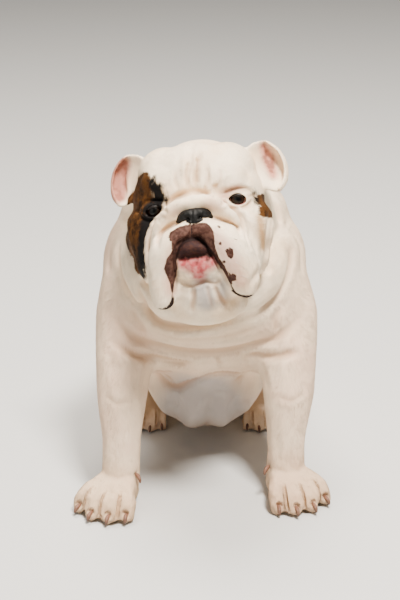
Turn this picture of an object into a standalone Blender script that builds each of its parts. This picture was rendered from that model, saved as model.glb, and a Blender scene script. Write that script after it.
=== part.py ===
"""A sitting English bulldog at life size, as named solids for a museum-style model.

Metres, +Z up. The dog looks along -Y, its left side is +X, and the floor is Z = 0.
The flesh is modelled whole from rounded masses, folded along named strokes, and then parted by thin cuts.
"""

import math

import bmesh
import bpy
import numpy as np
from mathutils import Matrix, Vector
from mathutils.bvhtree import BVHTree

# Driving dimensions
MM = 0.001
GAP = 0.3 * MM
VOXEL = 3.2 * MM
FLESH_RATIO = 0.035
HEAD_KEEP = 0.4
PAW_KEEP = 0.25
EYE_KEEP = 0.35
CHEST_KEEP = 0.3
SHARPEST = 3
SIDES = (("left", 1), ("right", -1))



def turned(origin, yaw, pitch, roll):
    """A frame at origin, turned by degrees: x to the dog's left, y back, z up."""
    turn = Matrix.Rotation(math.radians(yaw), 4, "Z") @ Matrix.Rotation(math.radians(pitch), 4, "X")
    return Matrix.Translation(origin) @ turn @ Matrix.Rotation(math.radians(roll), 4, "Y")


# The skull, and the face, whose loose skin sags a little to the dog's right: origins midway between the eyes
HEAD = turned(Vector((-0.015, -0.165, 0.417)), -8, -19, -7)
FACE = turned(Vector((-0.012, -0.165, 0.4145)), -4.5, -19, -9.4)
EYE_RADIUS = 12.5 * MM
EYE_CENTRE = Vector((51, 13, 0)) * MM

# The legs: the body sways a little over its left front leg, and the right front paw stands ahead
LEG_X = 0.108
SWAY = 0.003
FORE_WRIST_Y = -0.130
PAW_STEP = 0.011
PAW_TURN = math.radians(20)
HIND_X = 0.080
HIND_PAW_Y = 0.112
HIND_TURN = math.radians(8)
HIND_SCALE = 0.78

# The lid opening of each eye, in millimetres from its middle, with its outer corner lower
LID_WIDE = 8.2
LID_HIGH = 6.0
LID_TILT = math.radians(8)

# Each paw's cut, as (inner x, lowest y, highest y, top z)
WRIST_CUT = (0.045, -0.300, -0.060, 0.048)
ANKLE_CUT = (0.035, 0.000, 0.122, 0.050)

COAT = (0.82, 0.76, 0.66)
EYE_BROWN = (0.05, 0.02, 0.01)
NOSE_BLACK = (0.02, 0.02, 0.02)
CLAW_HORN = (0.45, 0.33, 0.24)


def clear_scene():
    for obj in list(bpy.data.objects):
        bpy.data.objects.remove(obj)


def link(obj, collection):
    for other in list(obj.users_collection):
        other.objects.unlink(obj)
    collection.objects.link(obj)
    return obj


def ball(masses, centre, radii, place=Matrix.Identity(4)):
    """An ellipsoid of flesh; centre and radii in millimetres, in the frame of place."""
    bm = bmesh.new()
    size = Matrix.Diagonal((*radii, 1))
    at = Matrix.Translation(centre)
    scale = Matrix.Scale(MM, 4)
    bmesh.ops.create_icosphere(bm, subdivisions=4, radius=1, matrix=place @ scale @ at @ size)
    mesh = bpy.data.meshes.new("mass")
    bm.to_mesh(mesh)
    bm.free()
    masses.append(bpy.data.objects.new("mass", mesh))


def smooth_path(points, count):
    """A Catmull-Rom curve through points of any width, read at count places."""
    p = np.array(points, float)
    p = np.vstack([2 * p[0] - p[1], p, 2 * p[-1] - p[-2]])
    spans = len(p) - 3
    found = []
    for t in np.linspace(0, spans, count):
        i = min(int(t), spans - 1)
        u = t - i
        a, b, c, d = p[i : i + 4]
        found.append(
            0.5 * (2 * b + (c - a) * u + (2 * a - 5 * b + 4 * c - d) * u**2 + (3 * b - a - 3 * c + d) * u**3)
        )
    return np.array(found)


def tube(masses, stations, place=Matrix.Identity(4)):
    """A tapered limb through stations of (x, y, z, radius) in millimetres, with round ends."""
    run = sum(math.dist(a[:3], b[:3]) for a, b in zip(stations, stations[1:]))
    thin = min(s[3] for s in stations)
    fine = 4 if thin > 40 else 3
    for x, y, z, radius in smooth_path(stations, max(4, int(run / (0.22 * thin)))):
        bm = bmesh.new()
        at = place @ Matrix.Scale(MM, 4) @ Matrix.Translation((x, y, z))
        bmesh.ops.create_icosphere(bm, subdivisions=fine, radius=radius, matrix=at)
        mesh = bpy.data.meshes.new("mass")
        bm.to_mesh(mesh)
        bm.free()
        masses.append(bpy.data.objects.new("mass", mesh))


def fused(name, masses, voxel, rounds):
    """One closed skin over all the masses, with its inner corners softened."""
    whole = bmesh.new()
    for mass in masses:
        whole.from_mesh(mass.data)
        mesh = mass.data
        bpy.data.objects.remove(mass)
        bpy.data.meshes.remove(mesh)
    mesh = bpy.data.meshes.new(name)
    whole.to_mesh(mesh)
    whole.free()
    obj = bpy.data.objects.new(name, mesh)
    bpy.context.scene.collection.objects.link(obj)
    remesh = obj.modifiers.new("fuse", "REMESH")
    remesh.mode = "VOXEL"
    remesh.voxel_size = voxel
    soften = obj.modifiers.new("soften", "SMOOTH")
    soften.factor = 0.5
    soften.iterations = rounds
    return applied(obj)


def evaluated(obj):
    """A new mesh of obj with its modifiers worked out."""
    bpy.context.view_layer.update()
    graph = bpy.context.evaluated_depsgraph_get()
    return bpy.data.meshes.new_from_object(obj.evaluated_get(graph))


def applied(obj):
    """obj with its modifiers applied."""
    mesh = evaluated(obj)
    old = obj.data
    obj.modifiers.clear()
    obj.data = mesh
    bpy.data.meshes.remove(old)
    return obj


# The hanging upper lips, right and left: their loose flesh hangs straight down, whatever the tilt of the face
LIPS = (
    [
        (-10, -29, -34, 12),
        (-26, -29, -40, 16),
        (-42, -23, -55, 20),
        (-49, -17, -76, 19),
        (-51, -14, -95, 17),
        (-53, -13, -107, 14.5),
    ],
    [
        (6, -29, -34, 12),
        (20, -29, -41, 17),
        (34, -23, -57, 24),
        (42, -18, -77, 24),
        (45, -14, -96, 19.5),
        (47, -13, -106, 14.5),
    ],
)


def mirrored(stations, side):
    return [(side * s[0], *s[1:]) for s in stations]


def skull_masses(masses):
    """The broad flat skull with its brows, temples and cheeks, in the head's frame."""
    ball(masses, (0, 64, 14), (76, 70, 64), HEAD)
    ball(masses, (0, 36, 30), (64, 40, 44), HEAD)
    ball(masses, (0, 8, -12), (46, 24, 34), FACE)
    for _, side in SIDES:
        ball(masses, (side * 34, 20, 26), (32, 26, 24), HEAD)
        ball(masses, (side * 38, 56, 38), (36, 48, 36), HEAD)
        ball(masses, (side * 52, 56, 4), (30, 50, 44), HEAD)
        ball(masses, (side * 58, 42, -34), (34, 44, 42), HEAD)
        ball(masses, (side * 50, 42, -66), (34, 42, 32), HEAD)
        ball(masses, (side * 51, 14, 0), (19, 16.5, 16), FACE)


def muzzle_masses(masses):
    """The short broad muzzle: the roll over the nose, the hanging lips and the undershot jaw."""
    ball(masses, (0, -4, -36), (48, 32, 36), FACE)
    roll = [
        (-2, -22, 1, 11),
        (18, -20, -2, 11),
        (36, -12, -12, 12),
        (50, -4, -31, 12.5),
        (57, 0, -56, 12),
        (58, 4, -82, 11),
    ]
    for _, side in SIDES:
        tube(masses, mirrored(roll, side), FACE)
    for lip in LIPS:
        tube(masses, lip, FACE)
    ball(masses, (-6, -19, -53), (22, 20, 11), FACE)
    ball(masses, (-4, -18, -73), (28, 21, 17), FACE)
    ball(masses, (0, 30, -66), (58, 54, 42), HEAD)
    ball(masses, (-3, 5, -96), (43, 27, 34), FACE)
    ball(masses, (2, 26, -120), (54, 30, 30), HEAD)


def neck_masses(masses):
    """The thick neck and the rolls of loose skin below the jaw."""
    tube(masses, [(-3, -62, 392, 74), (0, -38, 350, 94), (0, -8, 305, 114)])
    for _, side in SIDES:
        ball(masses, (side * 50, -22, 318), (64, 64, 66))
        ball(masses, (side * 60, -22, 354), (52, 48, 52))
        ball(masses, (side * 83, -30, 306), (50, 60, 56))
    roll = [
        (-86, -40, 345, 22),
        (-84, -92, 308, 26),
        (-52, -130, 285, 26),
        (-8, -144, 280, 24),
        (38, -136, 284, 26),
        (78, -98, 304, 26),
        (84, -40, 342, 22),
    ]
    tube(masses, roll)
    ball(masses, (-10, -118, 302), (56, 36, 34))


def torso_masses(masses):
    """The barrel chest, the roached back and the rump that sits on the floor."""
    tube(masses, [(0, -20, 245, 116), (0, 50, 228, 118), (0, 125, 182, 110), (0, 190, 125, 92)])
    ball(masses, (0, -45, 250), (116, 96, 84))
    ball(masses, (0, -70, 252), (104, 84, 60))
    ball(masses, (0, 36, 129), (91, 106, 98))
    ball(masses, (-12, 46, 41), (22, 28, 25))
    for _, side in SIDES:
        ball(masses, (side * 86, -42, 236), (56, 74, 96))
        ball(masses, (side * 52, 205, 82), (68, 78, 84))


def foreleg_masses(masses):
    """Each front leg from its shoulder down to its paw; the front paws aren't level with each other."""
    leg = [
        (106, -58, 235, 42),
        (108, -88, 188, 39),
        (109, -110, 140, 35),
        (108, -122, 95, 28.5),
        (108, -129, 60, 26.5),
        (108, -134, 34, 26),
    ]
    for _, side in SIDES:
        step = side * PAW_STEP / MM
        sway = SWAY / MM
        placed = [(side * x + sway * (z / 118 - 1), y + step * (1 - z / 235), z, r) for x, y, z, r in leg]
        tube(masses, placed)
        paw_masses(masses, fore_paw(side), side, 1.0)


def hindleg_masses(masses):
    """Each folded hind leg: thigh, shank and the long foot that lies on the floor."""
    thigh = [(70, 205, 100, 60), (88, 140, 108, 48), (96, 92, 100, 36)]
    shank = [(96, 92, 96, 34), (92, 135, 62, 27), (86, 175, 34, 22)]
    foot = [(85, 182, 22, 23), (82, 145, 20, 20), (80, 112, 22, 20)]
    for _, side in SIDES:
        for stations in (thigh, shank, foot):
            tube(masses, mirrored(stations, side))
        paw_masses(masses, hind_paw(side), side, HIND_SCALE)


def fore_paw(side):
    """The frame of a front paw: its origin on the floor under the wrist, looking along its toes."""
    at = Matrix.Translation((side * LEG_X - SWAY, FORE_WRIST_Y + side * PAW_STEP, 0))
    return at @ Matrix.Rotation(side * PAW_TURN, 4, "Z")


def hind_paw(side):
    at = Matrix.Translation((side * HIND_X, HIND_PAW_Y, 0))
    return at @ Matrix.Rotation(side * HIND_TURN, 4, "Z")


def toe_lines(side):
    """The four toes of a paw from inner to outer, each as stations from its root to its pad."""
    fans = ((-25, -11, 54), (-9, -4, 65), (10, 5, 64), (27, 14, 51))
    for across, lean, reach in fans:
        x = side * across
        end = x + side * lean * 0.5
        yield [
            (x * 0.5, -6, 34, 13),
            (x * 0.85, -0.50 * reach, 31, 11.5),
            (end, -0.82 * reach, 23, 11.5),
            (end + side * lean * 0.15, -reach, 9, 10.5),
        ]


def paw_masses(masses, place, side, scale):
    at = place @ Matrix.Scale(scale, 4)
    ball(masses, (0, -12, 20), (30, 30, 22), at)
    ball(masses, (0, 4, 14), (25, 22, 16), at)
    for stations in toe_lines(side):
        tube(masses, stations, at)


# Folds and ridges: points (x, z) in millimetres as seen from in front, then depth and width
def both(path, depth, width):
    """The same stroke on the left and on the right."""
    return [(path, depth, width), ([(-x, z) for x, z in path], depth, width)]


def face_strokes():
    found = []
    found += both([(-2, 15), (16, 12), (33, 3), (46, -11), (54, -26), (64, -54), (67, -84)], 4.0, 4.5)
    found += both([(9, -4), (20, -17), (33, -23), (45, -32), (51, -46)], 4.0, 3.5)
    found += both([(33, -9), (46, -13), (60, -11), (70, -2)], 2.0, 2.6)
    found += both([(36, 9), (50, 13), (64, 10), (72, 2)], 2.0, 2.6)
    found += both([(30, 20), (46, 23), (62, 20), (74, 12)], -1.5, 5)
    right_lip = [(-7, -41), (-15, -42), (-23, -46), (-30, -61), (-33, -82), (-37, -99), (-42, -114)]
    left_lip = [(-7, -41), (0, -42), (5, -47), (12, -59), (20, -78), (25, -93), (32, -110)]
    found += [(right_lip, 4.0, 3.0), (left_lip, 4.0, 3.0)]
    found += [([(-5, -26), (-6, -33), (-7, -40)], 3.0, 2.2)]
    found += [([(-27, -64), (-15, -61), (5, -61), (16, -65)], 3.0, 3.0)]
    found += [([(-28, -87), (-4, -91), (20, -88)], 3.0, 3.5)]
    found += [([(-14, -95), (-17, -112), (-22, -130)], 2.5, 3.5)]
    found += [([(7, -95), (11, -112), (20, -130)], 2.5, 3.5)]
    return found


def skull_strokes():
    found = both([(86, 2), (90, -16), (86, -44), (78, -80), (64, -106)], 3.5, 5)
    found += both([(10, 62), (15, 44), (11, 28)], 2.0, 3.5)
    found += [([(0, 76), (0, 52), (0, 27)], 3.0, 4.5)]
    return found


def chest_strokes():
    found = [
        ([(-86, 300), (-75, 274), (-63, 254), (-42, 249), (-14, 252), (26, 262), (57, 268)], 5, 7),
        ([(-116, 242), (-77, 214), (-42, 207), (26, 206), (84, 216), (118, 240)], 4, 9),
        ([(-120, 216), (-73, 192), (-42, 185), (-14, 186)], 4, 7),
        ([(52, 192), (86, 194), (118, 204)], 4, 7),
        ([(-57, 178), (-25, 181)], 2.5, 4),
    ]
    found += both([(112, 330), (106, 300), (88, 276), (66, 262)], 3.5, 7)
    found += both([(72, 190), (76, 168), (80, 150)], 3, 6)
    return found


def landed(tree, path, frame):
    """Where a stroke lands on the skin, when it is pushed straight in from the front of frame."""
    aim = (frame.to_3x3() @ Vector((0, 1, 0))).normalized()
    run = sum(math.dist(a, b) for a, b in zip(path, path[1:]))
    found = []
    for x, z in smooth_path(path, max(5, int(run / 2))):
        hit = tree.ray_cast(frame @ (Vector((x, -400, z)) * MM), aim)[0]
        if hit is not None:
            found.append(hit)
    return np.array(found)


def press(obj, strokes, frame):
    """Sinks each stroke into the skin as a fold with a soft swell beside it; a negative depth raises it."""
    mesh = obj.data
    count = len(mesh.vertices)
    spots = np.empty(count * 3)
    mesh.vertices.foreach_get("co", spots)
    spots = spots.reshape(-1, 3)
    facing = np.empty(count * 3)
    mesh.vertices.foreach_get("normal", facing)
    facing = facing.reshape(-1, 3)
    tree = BVHTree.FromPolygons(spots.tolist(), [tuple(p.vertices) for p in mesh.polygons])
    move = np.zeros(count)
    for path, depth, width in strokes:
        line = landed(tree, path, frame)
        reach = 4 * width * MM
        low, high = line.min(axis=0) - reach, line.max(axis=0) + reach
        near = np.flatnonzero(((spots > low) & (spots < high)).all(axis=1))
        away = np.linalg.norm(spots[near, None] - line[None], axis=2)
        nearest = away.argmin(axis=1)
        away = away.min(axis=1) / (width * MM)
        along = nearest / (len(line) - 1)
        fade = np.clip(np.minimum(along, 1 - along) * 5 + 0.25, 0, 1)
        swell = 0.3 * np.exp(-((away - 2.1) ** 2))
        move[near] += depth * MM * fade * (swell - np.exp(-(away**2)))
    spots += facing * move[:, None]
    mesh.vertices.foreach_set("co", spots.ravel())
    mesh.update()


def near_head(spots):
    """1 on the face and skull, falling to 0 over the neck."""
    centre = HEAD @ (Vector((0, 30, -25)) * MM)
    away = np.linalg.norm(spots - np.array(centre), axis=1) / MM
    return np.clip((165 - away) / 45, 0, 1)


def near_eyes(spots):
    """1 round each eye, where the lids need the finest faces."""
    found = np.zeros(len(spots))
    for _, side in SIDES:
        centre = np.array(FACE @ Vector((side * EYE_CENTRE.x, 0, 0)))
        found = np.maximum(found, np.clip((34 - np.linalg.norm(spots - centre, axis=1) / MM) / 14, 0, 1))
    return found


def near_chest(spots):
    """1 on the folds of the chest, seen from the front."""
    centre = np.array((0, -0.145, 0.225))
    return np.clip((95 - np.linalg.norm((spots - centre) * (0.7, 1, 1), axis=1) / MM) / 40, 0, 1)


def near_paws(spots):
    low = np.clip((75 - spots[:, 2] / MM) / 25, 0, 1)
    return low * (spots[:, 1] < 0.13)


def weighed(obj, name, weights):
    """A vertex group with these weights, in steps of a tenth."""
    group = obj.vertex_groups.new(name=name)
    steps = np.round(weights * 10).astype(int)
    for step in range(1, 11):
        found = np.flatnonzero(steps == step)
        if len(found):
            group.add(found.tolist(), step / 10, "REPLACE")
    return group


def spots_of(obj):
    spots = np.empty(len(obj.data.vertices) * 3)
    obj.data.vertices.foreach_get("co", spots)
    return spots.reshape(-1, 3)


def soften_body(obj):
    """Takes the steps between masses off the body; the head and paws stay crisp."""
    spots = spots_of(obj)
    weighed(obj, "body", 1 - np.maximum(near_head(spots), near_paws(spots)))
    smooth = obj.modifiers.new("soften", "SMOOTH")
    smooth.factor = 0.5
    smooth.iterations = 30
    smooth.vertex_group = "body"
    applied(obj)
    obj.vertex_groups.clear()


def thinned(obj, ratio):
    """Fewer faces, mostly taken from the body."""
    spots = spots_of(obj)
    keep = HEAD_KEEP * near_head(spots) + PAW_KEEP * near_paws(spots)
    keep = keep + EYE_KEEP * near_eyes(spots) + CHEST_KEEP * near_chest(spots) * (1 - near_head(spots))
    weighed(obj, "plain", 1 - keep)
    fewer = obj.modifiers.new("thin", "DECIMATE")
    fewer.ratio = ratio
    fewer.vertex_group = "plain"
    applied(obj)
    obj.vertex_groups.clear()


def build_flesh():
    masses = []
    skull_masses(masses)
    muzzle_masses(masses)
    neck_masses(masses)
    torso_masses(masses)
    foreleg_masses(masses)
    hindleg_masses(masses)
    flesh = fused("torso", masses, VOXEL, 4)
    soften_body(flesh)
    press(flesh, face_strokes(), FACE)
    press(flesh, skull_strokes(), HEAD)
    press(flesh, chest_strokes(), Matrix.Identity(4))
    thinned(flesh, FLESH_RATIO)
    return flesh


# Solids and cuts
def meshed(name, bm):
    bmesh.ops.recalc_face_normals(bm, faces=bm.faces)
    mesh = bpy.data.meshes.new(name)
    bm.to_mesh(mesh)
    bm.free()
    obj = bpy.data.objects.new(name, mesh)
    bpy.context.scene.collection.objects.link(obj)
    return obj


def copied(obj, name):
    twin = bpy.data.objects.new(name, obj.data.copy())
    bpy.context.scene.collection.objects.link(twin)
    return twin


def dropped(obj):
    mesh = obj.data
    bpy.data.objects.remove(obj)
    bpy.data.meshes.remove(mesh)


def cut(obj, tool, operation="DIFFERENCE"):
    """Applies one Boolean with tool, and removes tool. The second solver steps in if nothing is left."""
    change = obj.modifiers.new("cut", "BOOLEAN")
    change.operation = operation
    change.object = tool
    for solver in ("EXACT", "MANIFOLD"):
        change.solver = solver
        trial = evaluated(obj)
        left = len(trial.polygons)
        bpy.data.meshes.remove(trial)
        if left:
            break
    applied(obj)
    dropped(tool)
    return obj


def grown(obj, amount):
    """A copy of obj with every face moved out by amount, at most SHARPEST times that at a sharp corner."""
    bm = bmesh.new()
    bm.from_mesh(obj.data)
    bmesh.ops.triangulate(bm, faces=bm.faces)
    steps = [v.normal * amount * min(v.calc_shell_factor(), SHARPEST) for v in bm.verts]
    for v, step in zip(bm.verts, steps):
        v.co += step
    return meshed("grown", bm)


def largest(obj):
    """Keeps only the piece of obj with the most volume."""
    bm = bmesh.new()
    bm.from_mesh(obj.data)
    bmesh.ops.triangulate(bm, faces=bm.faces)
    islands = []
    todo = set(bm.faces)
    while todo:
        edge_of = [todo.pop()]
        island = list(edge_of)
        while edge_of:
            face = edge_of.pop()
            for edge in face.edges:
                for other in edge.link_faces:
                    if other in todo:
                        todo.remove(other)
                        island.append(other)
                        edge_of.append(other)
        volume = sum(f.verts[0].co.dot(f.verts[1].co.cross(f.verts[2].co)) / 6 for f in island)
        islands.append((volume, island))
    islands.sort(key=lambda found: found[0])
    for _, island in islands[:-1]:
        bmesh.ops.delete(bm, geom=island, context="FACES")
    loose = [v for v in bm.verts if not v.link_faces]
    bmesh.ops.delete(bm, geom=loose, context="VERTS")
    bm.to_mesh(obj.data)
    bm.free()
    return obj


def orb(centre, radii, place=Matrix.Identity(4), sides=32):
    """An ellipsoid cutter or eyeball; millimetres in the frame of place."""
    bm = bmesh.new()
    at = place @ Matrix.Scale(MM, 4) @ Matrix.Translation(centre) @ Matrix.Diagonal((*radii, 1))
    bmesh.ops.create_uvsphere(bm, u_segments=sides, v_segments=sides // 2, radius=1, matrix=at)
    return meshed("orb", bm)


def half_space(point, normal, shift=0.0):
    """A big block that fills the side of a plane that normal points to, moved back by shift."""
    normal = Vector(normal).normalized()
    bm = bmesh.new()
    turn = normal.to_track_quat("Z", "Y").to_matrix().to_4x4()
    middle = Matrix.Translation(Vector(point) + normal * (0.5 - shift))
    bmesh.ops.create_cube(bm, size=1, matrix=middle @ turn @ Matrix.Diagonal((2, 2, 1, 1)))
    return meshed("side", bm)


def taken(rest, name, region):
    """Parts the node name off rest: region(0) bounds it, and region(GAP) clears the gap round it."""
    piece = cut(copied(rest, name), region(0), "INTERSECT")
    cut(rest, region(GAP))
    largest(rest)
    return largest(piece)


def horn(name, stations, place, sides=6, more=0.0):
    """A tapered bent spike or tail through stations of (x, y, z, radius), made bigger all round by more."""
    path = [Vector(s[:3]) for s in stations]
    path[0] -= (path[1] - path[0]).normalized() * more
    path[-1] += (path[-1] - path[-2]).normalized() * more
    bm = bmesh.new()
    rings = []
    for i, station in enumerate(stations):
        along = path[min(i + 1, len(path) - 1)] - path[max(i - 1, 0)]
        turn = along.to_track_quat("Z", "Y").to_matrix()
        ring = []
        for k in range(sides):
            angle = 2 * math.pi * k / sides
            spot = path[i] + turn @ Vector((math.cos(angle), math.sin(angle), 0)) * (station[3] + more)
            ring.append(bm.verts.new(place @ (spot * MM)))
        rings.append(ring)
    for low, high in zip(rings, rings[1:]):
        for k in range(sides):
            j = (k + 1) % sides
            bm.faces.new((low[k], low[j], high[j], high[k]))
    bm.faces.new(rings[0][::-1])
    bm.faces.new(rings[-1])
    return meshed(name, bm)


def merged(pieces):
    """All the pieces as one object, for a single cut."""
    bm = bmesh.new()
    for piece in pieces:
        bm.from_mesh(piece.data)
        dropped(piece)
    return meshed("pieces", bm)


# The head's own pieces
EAR_ROWS = (
    ((58, 50, 59), (62, 56, 52), (66, 58, 42), (70, 58, 31), (76, 56, 20), (80, 50, 12)),
    ((73, 62, 71), (82, 78, 62), (91, 84, 47), (95, 82, 31), (94, 75, 17), (88, 62, 7)),
    ((86, 68, 73), (103, 76, 66), (114, 78, 50), (118, 75, 32), (114, 68, 14), (102, 59, 4)),
    ((87, 56, 68), (99, 60, 61), (106, 62, 48), (109, 62, 32), (106, 59, 18), (98, 53, 9)),
)
EAR_LIFT = {1: 2, -1: -1}
EAR_THICK = 4.4 * MM


def ear(name, side, flesh):
    """A folded ear: a thin cup that opens forwards, its rim curled over."""
    bm = bmesh.new()
    root = HEAD @ Matrix.Scale(MM, 4) @ Matrix.Translation((0, 0, EAR_LIFT[side]))
    rows = [[bm.verts.new(root @ Vector((side * x, y, z))) for x, y, z in row] for row in EAR_ROWS]
    for low, high in zip(rows, rows[1:]):
        for k in range(len(low) - 1):
            bm.faces.new((low[k], low[k + 1], high[k + 1], high[k]))
    obj = meshed(name, bm)
    curve = obj.modifiers.new("curve", "SUBSURF")
    curve.levels = curve.render_levels = 2
    leaf = obj.modifiers.new("leaf", "SOLIDIFY")
    leaf.thickness = EAR_THICK
    leaf.offset = 0
    leaf.use_even_offset = False
    round_off = obj.modifiers.new("round", "SMOOTH")
    round_off.factor = 0.5
    round_off.iterations = 2
    fewer = obj.modifiers.new("thin", "DECIMATE")
    fewer.ratio = 0.48
    applied(obj)
    cut(obj, grown(flesh, GAP))
    return largest(obj)


def sockets(flesh):
    """Hollows each eye's seat out of the head and opens the lids in front of it."""
    for _, side in SIDES:
        centre = Vector((side * EYE_CENTRE.x, EYE_CENTRE.y, EYE_CENTRE.z)) / MM
        seat = EYE_RADIUS / MM + GAP / MM
        tilt = Matrix.Rotation(side * LID_TILT, 4, "Y")
        place = FACE @ Matrix.Translation(centre * MM) @ tilt
        slot = orb((0, -13, 0), (LID_WIDE, 15, LID_HIGH), place, 28)
        cut(flesh, slot)
        cut(flesh, orb(centre, (seat, seat, seat), FACE, 28))


def eye(name, side):
    centre = (side * EYE_CENTRE.x / MM, EYE_CENTRE.y / MM, EYE_CENTRE.z / MM)
    obj = orb(centre, (EYE_RADIUS / MM,) * 3, FACE, 18)
    obj.name = name
    return obj


def nose(flesh):
    """The black nose pad with its two nostrils, over the muzzle."""
    masses = []
    middle = -2.5
    ball(masses, (middle, -27, -14), (14, 11, 11.5), FACE)
    ball(masses, (middle, -26, -22), (10, 10, 8.5), FACE)
    for _, side in SIDES:
        ball(masses, (middle + side * 11.5, -25, -16), (10.5, 10, 10), FACE)
    obj = fused("nose", masses, 1.8 * MM, 4)
    for _, side in SIDES:
        cut(obj, orb((middle + side * 9, -37, -17), (4.2, 6.5, 3.4), FACE, 16))
        cut(obj, orb((middle + side * 14.5, -34, -20), (4.6, 7.0, 2.2), FACE, 16))
    fewer = obj.modifiers.new("thin", "DECIMATE")
    fewer.ratio = 0.19
    applied(obj)
    cut(obj, grown(flesh, GAP))
    return largest(obj)


def claw_paths(stem, place, side, scale, with_dew):
    """Name, stations and frame of each claw of one paw, inner to outer, and of a front paw's dewclaw."""
    spread = place @ Matrix.Scale(scale, 4)
    for number, line in enumerate(toe_lines(side), start=1):
        x, y, z, _ = line[-1]
        lean = (x - line[1][0]) * 0.12
        path = [
            (x - lean, y - 1, z + 7.5, 4.0),
            (x, y - 8, z + 6.5, 3.9),
            (x + lean, y - 13, z + 1.5, 2.9),
            (x + lean * 1.5, y - 15.5, z - 6, 1.0),
        ]
        yield f"{stem}_claw_{number}", path, spread
    if with_dew:
        path = [(-24, -5, 45, 4.0), (-31, -10, 43, 3.8), (-34.5, -14, 37, 2.8), (-35, -16, 30, 1.1)]
        yield f"{stem}_dewclaw", mirrored(path, side), spread


def claws(flesh):
    """Every claw, each set in a seat of its own in its toe."""
    paths = []
    for word, side in SIDES:
        paths += claw_paths(f"forepaw_{word}", fore_paw(side), side, 1.0, True)
        paths += claw_paths(f"hindpaw_{word}", hind_paw(side), side, HIND_SCALE, False)
    cut(flesh, merged([horn(name, path, place, more=GAP / MM) for name, path, place in paths]))
    return [horn(name, path, place) for name, path, place in paths]


def tail(flesh):
    path = [
        (2, 255, 146, 24),
        (3, 277, 138, 21),
        (7, 291, 124, 16),
        (13, 296, 110, 11),
        (18, 294, 100, 7),
        (21, 291, 95, 4),
    ]
    stations = [tuple(s) for s in smooth_path(path, 10)]
    return largest(cut(horn("tail", stations, Matrix.Identity(4), 14), grown(flesh, GAP)))


# Where the flesh is parted into nodes
def head_region(shift):
    top, low = HEAD @ (Vector((0, 122, 60)) * MM), HEAD @ (Vector((0, 20, -125)) * MM)
    across = HEAD.to_3x3() @ Vector((1, 0, 0))
    return half_space(top, across.cross(top - low), shift)


def neck_region(shift):
    return half_space((0, -0.160, 0.262), (0, -0.42, 0.91), shift)


def foreleg_region(side):
    def region(shift):
        more = shift / MM
        return orb((side * 114, -106, 86), (60 + more, 92 + more, 102 + more), sides=40)

    return region


def haunch_region(side):
    """A lying elliptical column that takes the thigh, shank and foot from the side of the rump."""

    def region(shift):
        bm = bmesh.new()
        middle = Matrix.Translation((side * (0.055 + 0.1 - shift), 0.150, 0.062))
        lean = Matrix.Rotation(side * math.radians(-8), 4, "Y")
        lie = Matrix.Rotation(math.radians(90), 4, "Y")
        size = Matrix.Diagonal((0.108 + shift, 0.124 + shift, 0.2, 1))
        bmesh.ops.create_cone(
            bm, cap_ends=True, segments=48, radius1=1, radius2=1, depth=1, matrix=middle @ lean @ lie @ size
        )
        return meshed("haunch", bm)

    return region


def paw_region(side, cut_at):
    """A block over one paw; cut_at is (inner x, lowest y, highest y, top z)."""
    inner, low_y, high_y, top = cut_at

    def region(shift):
        low = Vector((inner - shift, low_y, -0.1))
        high = Vector((0.3, high_y + shift, top + shift))
        middle = (low + high) / 2
        size = high - low
        at = Matrix.Translation((side * middle.x, middle.y, middle.z)) @ Matrix.Diagonal((*size, 1))
        bm = bmesh.new()
        bmesh.ops.create_cube(bm, size=1, matrix=at)
        return meshed("toes", bm)

    return region


def painted(obj, colour, roughness):
    """Gives obj a material of its own."""
    material = bpy.data.materials.new(obj.name)
    material.use_nodes = True
    shader = material.node_tree.nodes["Principled BSDF"]
    shader.inputs["Base Color"].default_value = (*colour, 1)
    shader.inputs["Roughness"].default_value = roughness
    obj.data.materials.clear()
    obj.data.materials.append(material)


def centred(objects):
    """Moves the whole dog so that the middle of its box stands over the origin."""
    spots = np.concatenate([spots_of(obj) for obj in objects])
    middle = (spots.min(axis=0) + spots.max(axis=0)) / 2
    for obj in objects:
        obj.data.transform(Matrix.Translation((-middle[0], -middle[1], 0)))


def main():
    clear_scene()
    dog = bpy.data.collections.new("english_bulldog")
    bpy.context.scene.collection.children.link(dog)
    torso = build_flesh()
    cut(torso, half_space((0, 0, 0), (0, 0, -1)))
    sockets(torso)
    horns = [tail(torso), nose(torso)]
    nodes = [ear(f"ear_{word}", side, torso) for word, side in SIDES]
    eyes = [eye(f"eye_{word}", side) for word, side in SIDES]
    horns += claws(torso)
    nodes.append(taken(torso, "head", head_region))
    nodes.append(taken(torso, "neck", neck_region))
    for word, side in SIDES:
        nodes.append(taken(torso, f"forepaw_{word}", paw_region(side, WRIST_CUT)))
        nodes.append(taken(torso, f"hindpaw_{word}", paw_region(side, ANKLE_CUT)))
        nodes.append(taken(torso, f"foreleg_{word}", foreleg_region(side)))
        nodes.append(taken(torso, f"hindleg_{word}", haunch_region(side)))
    nodes.append(torso)
    for obj in nodes:
        painted(obj, COAT, 0.8)
    for obj in eyes:
        painted(obj, EYE_BROWN, 0.1)
    for obj in horns:
        painted(obj, COAT if obj.name == "tail" else NOSE_BLACK if obj.name == "nose" else CLAW_HORN, 0.5)
    centred(nodes + eyes + horns)
    for obj in nodes + eyes + horns:
        link(obj, dog)


main()
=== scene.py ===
"""The looks of a sitting English bulldog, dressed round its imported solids.

Metres, +Z up, the dog looking along -Y. One skin takes the place of the solids of flesh. Its short coat,
and the eyes, lids, nose, claws and whiskers, are pieces of their own.
"""

import math

import bpy
import numpy as np
from mathutils import Matrix, Vector
from mathutils.bvhtree import BVHTree


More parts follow.
